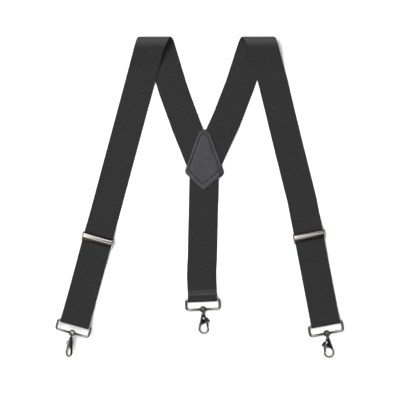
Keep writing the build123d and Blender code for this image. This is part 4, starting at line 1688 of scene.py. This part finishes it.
# %% The row-of-teeth tree
def tooth_row_tree():
    """One small block at every point of a line, so that all teeth are alike."""
    tree, given, result = new_tree(
        "Row of teeth",
        "GeometryNodeTree",
        [
            ("Line", "Geometry", None),
            ("Count", "Int", 12),
            ("Width", "Float", 2.0 * MM),
            ("Depth", "Float", 0.9 * MM),
            ("Height", "Float", 1.1 * MM),
            ("Finish", "Material", None),
        ],
        [("Teeth", "Geometry")],
    )
    spaced = add_node(
        tree,
        "GeometryNodeResampleCurve",
        {"Curve": given["Line"], "Count": given["Count"]},
        mode="COUNT",
    ).outputs[0]
    size = combined(tree, X=given["Width"], Y=given["Depth"], Z=given["Height"])
    tooth = add_node(tree, "GeometryNodeMeshCube", {"Size": size}).outputs["Mesh"]
    laid = add_node(
        tree, "GeometryNodeInstanceOnPoints", {"Points": spaced, "Instance": tooth}
    ).outputs[0]
    return end_tree(tree, laid, given["Finish"], result["Teeth"])


TOOTH_ROW = tooth_row_tree()

# %% Make the adjusters
FRAME_HALF_X = 25.8 * MM
EAR_T = 1.5 * MM
LEVER_HALF_X = 25.25 * MM
LIP_START = -1.7 * MM
CHANNEL_X = 1.7 * MM
BACK_START = 3.8 * MM
PIN = Vector((4.5, 8.2)) * MM
PIN_R = 0.8 * MM
# Each bar's section, in millimetres: its lower left, its upper right and the rounding of its edges.
FRAME_BARS = (((-8.5, 1.65), (-5.5, 2.85), 0.55), ((2.5, 3.1), (6.5, 4.5), 0.3))
TOOTH_Z = 6.95 * MM
TOOTH_PITCH = 4 * MM
TOOTH_COUNT = 12


def adjuster_frame(name, matrix):
    """Two ears joined by the bar under the strap and the bar that the tail is sewn round."""
    hub = arc(PIN, 2.5 * MM, 160, -155, 15)
    ear_outline = mm((7.4, 2.4), (5.8, 1.0), (-9.5, 1.0), (-9.5, 4.4), (-6.0, 5.2)) + hub
    hole = arc(PIN, PIN_R, 0, 330, 30)
    reach = FRAME_HALF_X + EAR_T / 2
    bars = []
    for (left, low), (right, high), rounding in FRAME_BARS:
        corners = mm((left, low), (right, low), (right, high), (left, high))
        outline = rounded_outline(corners, rounding * MM)
        bars.append(plate("bar", outline, [], -reach, reach))
    shape = None
    for side in (-1, 1):
        low = min(side * FRAME_HALF_X, side * (FRAME_HALF_X + EAR_T))
        ear = plate(f"{name}_adjuster_ears", ear_outline, [hole], low, low + EAR_T)
        ear = bevelled(ear, 0.3 * MM, 3, 50)
        shape = ear if shape is None else joined(shape.name, shape, ear)
    for bar in bars:
        shape = joined(shape.name, shape, bar)
    # Painted shade on the tops of the ears.
    marked(shape, "plating_shade", lambda p: 0.6 * eased(p.y, 5.5 * MM, 7.5 * MM))
    return dressed(put(shape, matrix), "adjuster_metal")


def lever_painted_shade(p):
    """Painted shade on the lip, the back and the channel, and lighter painted shade on the lower bead.
    """
    lip = 0.96 * (1 - eased(p.x, LIP_START - 0.5 * MM, LIP_START + 0.5 * MM))
    lower_bead = 0.35 * (1 - eased(p.x, CHANNEL_X - 0.2 * MM, CHANNEL_X + 0.9 * MM))
    in_channel = eased(-abs(p.x - CHANNEL_X), -0.9 * MM, -0.3 * MM)
    channel = 0.9 * in_channel * eased(p.y, 9.9 * MM, 10 * MM)
    return max(lip, lower_bead, channel, eased(p.x, BACK_START, BACK_START + 0.8 * MM))


def adjuster_lever(name, matrix):
    """The cam lever: its rolled face and the barrel that its pin runs through."""
    face = mm(
        (6.0, 8.6), (6.25, 9.4), (5.6, 10.3), (4.4, 10.75), (3.2, 10.75), (2.3, 10.3),
        (1.7, 10.15), (1.1, 10.3), (0.2, 10.75), (-1.0, 10.75), (-2.4, 10.2), (-4.4, 9.75),
        (-6.3, 9.75), (-7.0, 9.3), (-7.0, 8.6), (-6.4, 8.2), (-4.2, 8.6), (-1.8, 9.2),
        (1.2, 9.3),
    )
    barrel = arc(PIN, 1.6 * MM, 150, 210, 15)
    outline = rounded_outline(face, 0.45 * MM, 12) + barrel
    lever = plate(f"{name}_cam_lever", outline, [arc(PIN, PIN_R + 0.05 * MM, 0, 330, 30)],
                  -LEVER_HALF_X, LEVER_HALF_X)
    bevelled(lever, 0.25 * MM, 3, 60)
    # Painted shade on the lever's lip, back, channel and lower bead.
    marked(lever, "plating_shade", lever_painted_shade)
    return dressed(put(lever, matrix), "adjuster_metal")


def lever_teeth(name, matrix):
    """The row of teeth on the lever's barrel."""
    half_row = TOOTH_PITCH * (TOOTH_COUNT - 1) / 2
    row = [Vector((s * half_row, PIN.x, TOOTH_Z)) for s in (-1, 1)]
    teeth = run_tree(
        line_object(f"{name}_cam_teeth", row),
        TOOTH_ROW,
        Count=TOOTH_COUNT,
        Finish=FINISHES["adjuster_metal"],
    )
    return put(teeth, matrix)


def lever_pin(name, matrix):
    """The lever's pin, with a rounded head outside each ear."""
    end = FRAME_HALF_X + EAR_T
    outline = [(0, -end - 0.6 * MM)]
    for side in (-1, 1):
        head = mm((0.7, 0.55), (1.15, 0.35), (1.3, 0.0))
        heads = [(p.x, side * (end + p.y)) for p in head] + [(PIN_R, side * end)]
        outline += heads if side < 0 else heads[::-1]
    outline.append((0, end + 0.6 * MM))
    pin = turned_on_lathe(f"{name}_lever_pin", outline, 20)
    return dressed(put(settle(pin), matrix), "adjuster_metal")


for name in STRAP_ENDS:
    adjuster = ADJUSTER_POINTS[name]
    down = direction_of(f"{name}_adjuster_slide")
    side_view = placed(adjuster, -down, Vector((0, 0, 1)))
    pin_place = placed(adjuster - down * PIN.x + Vector((0, 0, PIN.y)), Vector((0, 0, 1)),
                       Vector((0, 0, 1)).cross(down) * -1)
    made = {
        "adjuster_frame": adjuster_frame(name, side_view),
        "adjuster_pin": lever_pin(name, pin_place),
        "adjuster_lever": adjuster_lever(name, side_view),
    }
    for node, piece in made.items():
        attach(piece, f"{name}_cam_lever" if node == "adjuster_lever" else f"{name}_adjuster")
        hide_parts(f"{name}_{node}")
    teeth = lever_teeth(name, STRAP_ENDS[name])
    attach(teeth, f"{name}_cam_lever")
    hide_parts(f"{name}_adjuster_lever")
print("lever:", len(made["adjuster_lever"].data.polygons), "faces")

# %% [markdown]
# ## Table and light
# The braces lie on a pale table under soft studio light. Metal shows what is round it, so the
# surroundings matter as much as the lamp: a dark spot straight above where a camera would hang, a
# bright band of soft boxes round it that is weaker on the right, and a dim horizon. To the eye the
# background is plain. The lamp stands high at the upper left, so shadows are short and fall to the
# lower right.

# %% Table
SKY = ((0.0, 0.10), (0.5, 0.08), (0.62, 1.0), (0.95, 1.0), (0.97, 0.6), (0.985, 0.03), (1.0, 0.02))
SKY_STRENGTH = 2.7
TABLE_HALF = 6.0
TABLE_Z = -0.1 * MM


def pale_table():
    """A wide plain table under the braces."""
    reach = TABLE_HALF
    corners = [(-reach, -reach, TABLE_Z), (reach, -reach, TABLE_Z), (reach, reach, TABLE_Z),
               (-reach, reach, TABLE_Z)]
    table = mesh_object("pale_table", corners, [(0, 1, 2, 3)])
    finish = new_material("White table", 0.0, 0.9, Base_Color=(0.96, 0.96, 0.96, 1))[0]
    table.data.materials.append(finish)
    table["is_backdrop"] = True


# %% Surroundings
def studio_world():
    """Soft boxes round a dark spot overhead, and a plain white background to the camera."""
    world = bpy.data.worlds.new("Soft studio")
    world.use_nodes = True
    tree = world.node_tree
    tree.nodes.clear()
    direction = add_node(tree, "ShaderNodeTexCoord").outputs["Generated"]
    parts = parts_of(tree, direction)
    ramp = add_node(tree, "ShaderNodeValToRGB", {"Fac": parts["Z"]})
    stops = ramp.color_ramp.elements
    for n, (place, grey) in enumerate(SKY):
        stop = stops[0] if n == 0 else stops.new(place) if n < len(SKY) - 1 else stops[-1]
        stop.position = place
        stop.color = (grey, grey, grey, 1)
    side = add_node(
        tree,
        "ShaderNodeMapRange",
        {"Value": parts["X"], "From Min": 0.0, "From Max": 0.4, "To Min": 1.0, "To Max": 0.1},
    ).outputs["Result"]
    strength = calc(tree, "MULTIPLY", side, SKY_STRENGTH)
    seen = add_node(tree, "ShaderNodeLightPath").outputs["Is Camera Ray"]
    around = add_node(
        tree, "ShaderNodeBackground", {"Color": ramp.outputs[0], "Strength": strength}
    )
    plain = add_node(tree, "ShaderNodeBackground", {"Color": (1, 1, 1, 1), "Strength": 1.0})
    mixed = add_node(
        tree, "ShaderNodeMixShader", {0: seen, 1: around.outputs[0], 2: plain.outputs[0]}
    )
    add_node(tree, "ShaderNodeOutputWorld", {"Surface": mixed.outputs[0]})
    return world


# %% Lamp and camera
LAMP_WATTS = 26
LAMP_SIZE = 0.9
LAMP_PLACE = (-0.95, 0.95, 2.1)
CAMERA_LENS = 131.9
CAMERA_SENSOR = 36
CAMERA_PLACE = (1.02 * MM, -5.6 * MM, 2.5)


def soft_lamp():
    """A large soft lamp, turned towards the braces."""
    light = bpy.data.lights.new("soft_lamp", "AREA")
    light.energy = LAMP_WATTS
    light.size = LAMP_SIZE
    lamp = new_object("soft_lamp", light)
    lamp.location = LAMP_PLACE
    lamp.rotation_euler = (-lamp.location).to_track_quat("-Z", "Y").to_euler()


def overhead_camera():
    """A camera straight above, looking down."""
    lens = bpy.data.cameras.new("overhead_camera")
    lens.lens = CAMERA_LENS
    lens.sensor_width = CAMERA_SENSOR
    camera = new_object("overhead_camera", lens)
    camera.location = CAMERA_PLACE
    return camera


pale_table()
soft_lamp()
bpy.context.scene.world = studio_world()
bpy.context.scene.camera = overhead_camera()
bpy.context.scene.view_settings.view_transform = "Standard"

# %% Sizes, and finish
sizes = {"cad": [list(cad_low), list(cad_high)], "visual": [list(c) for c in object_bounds()]}
for name, box in sizes.items():
    print(name, [[round(value / MM, 1) for value in corner] for corner in box])
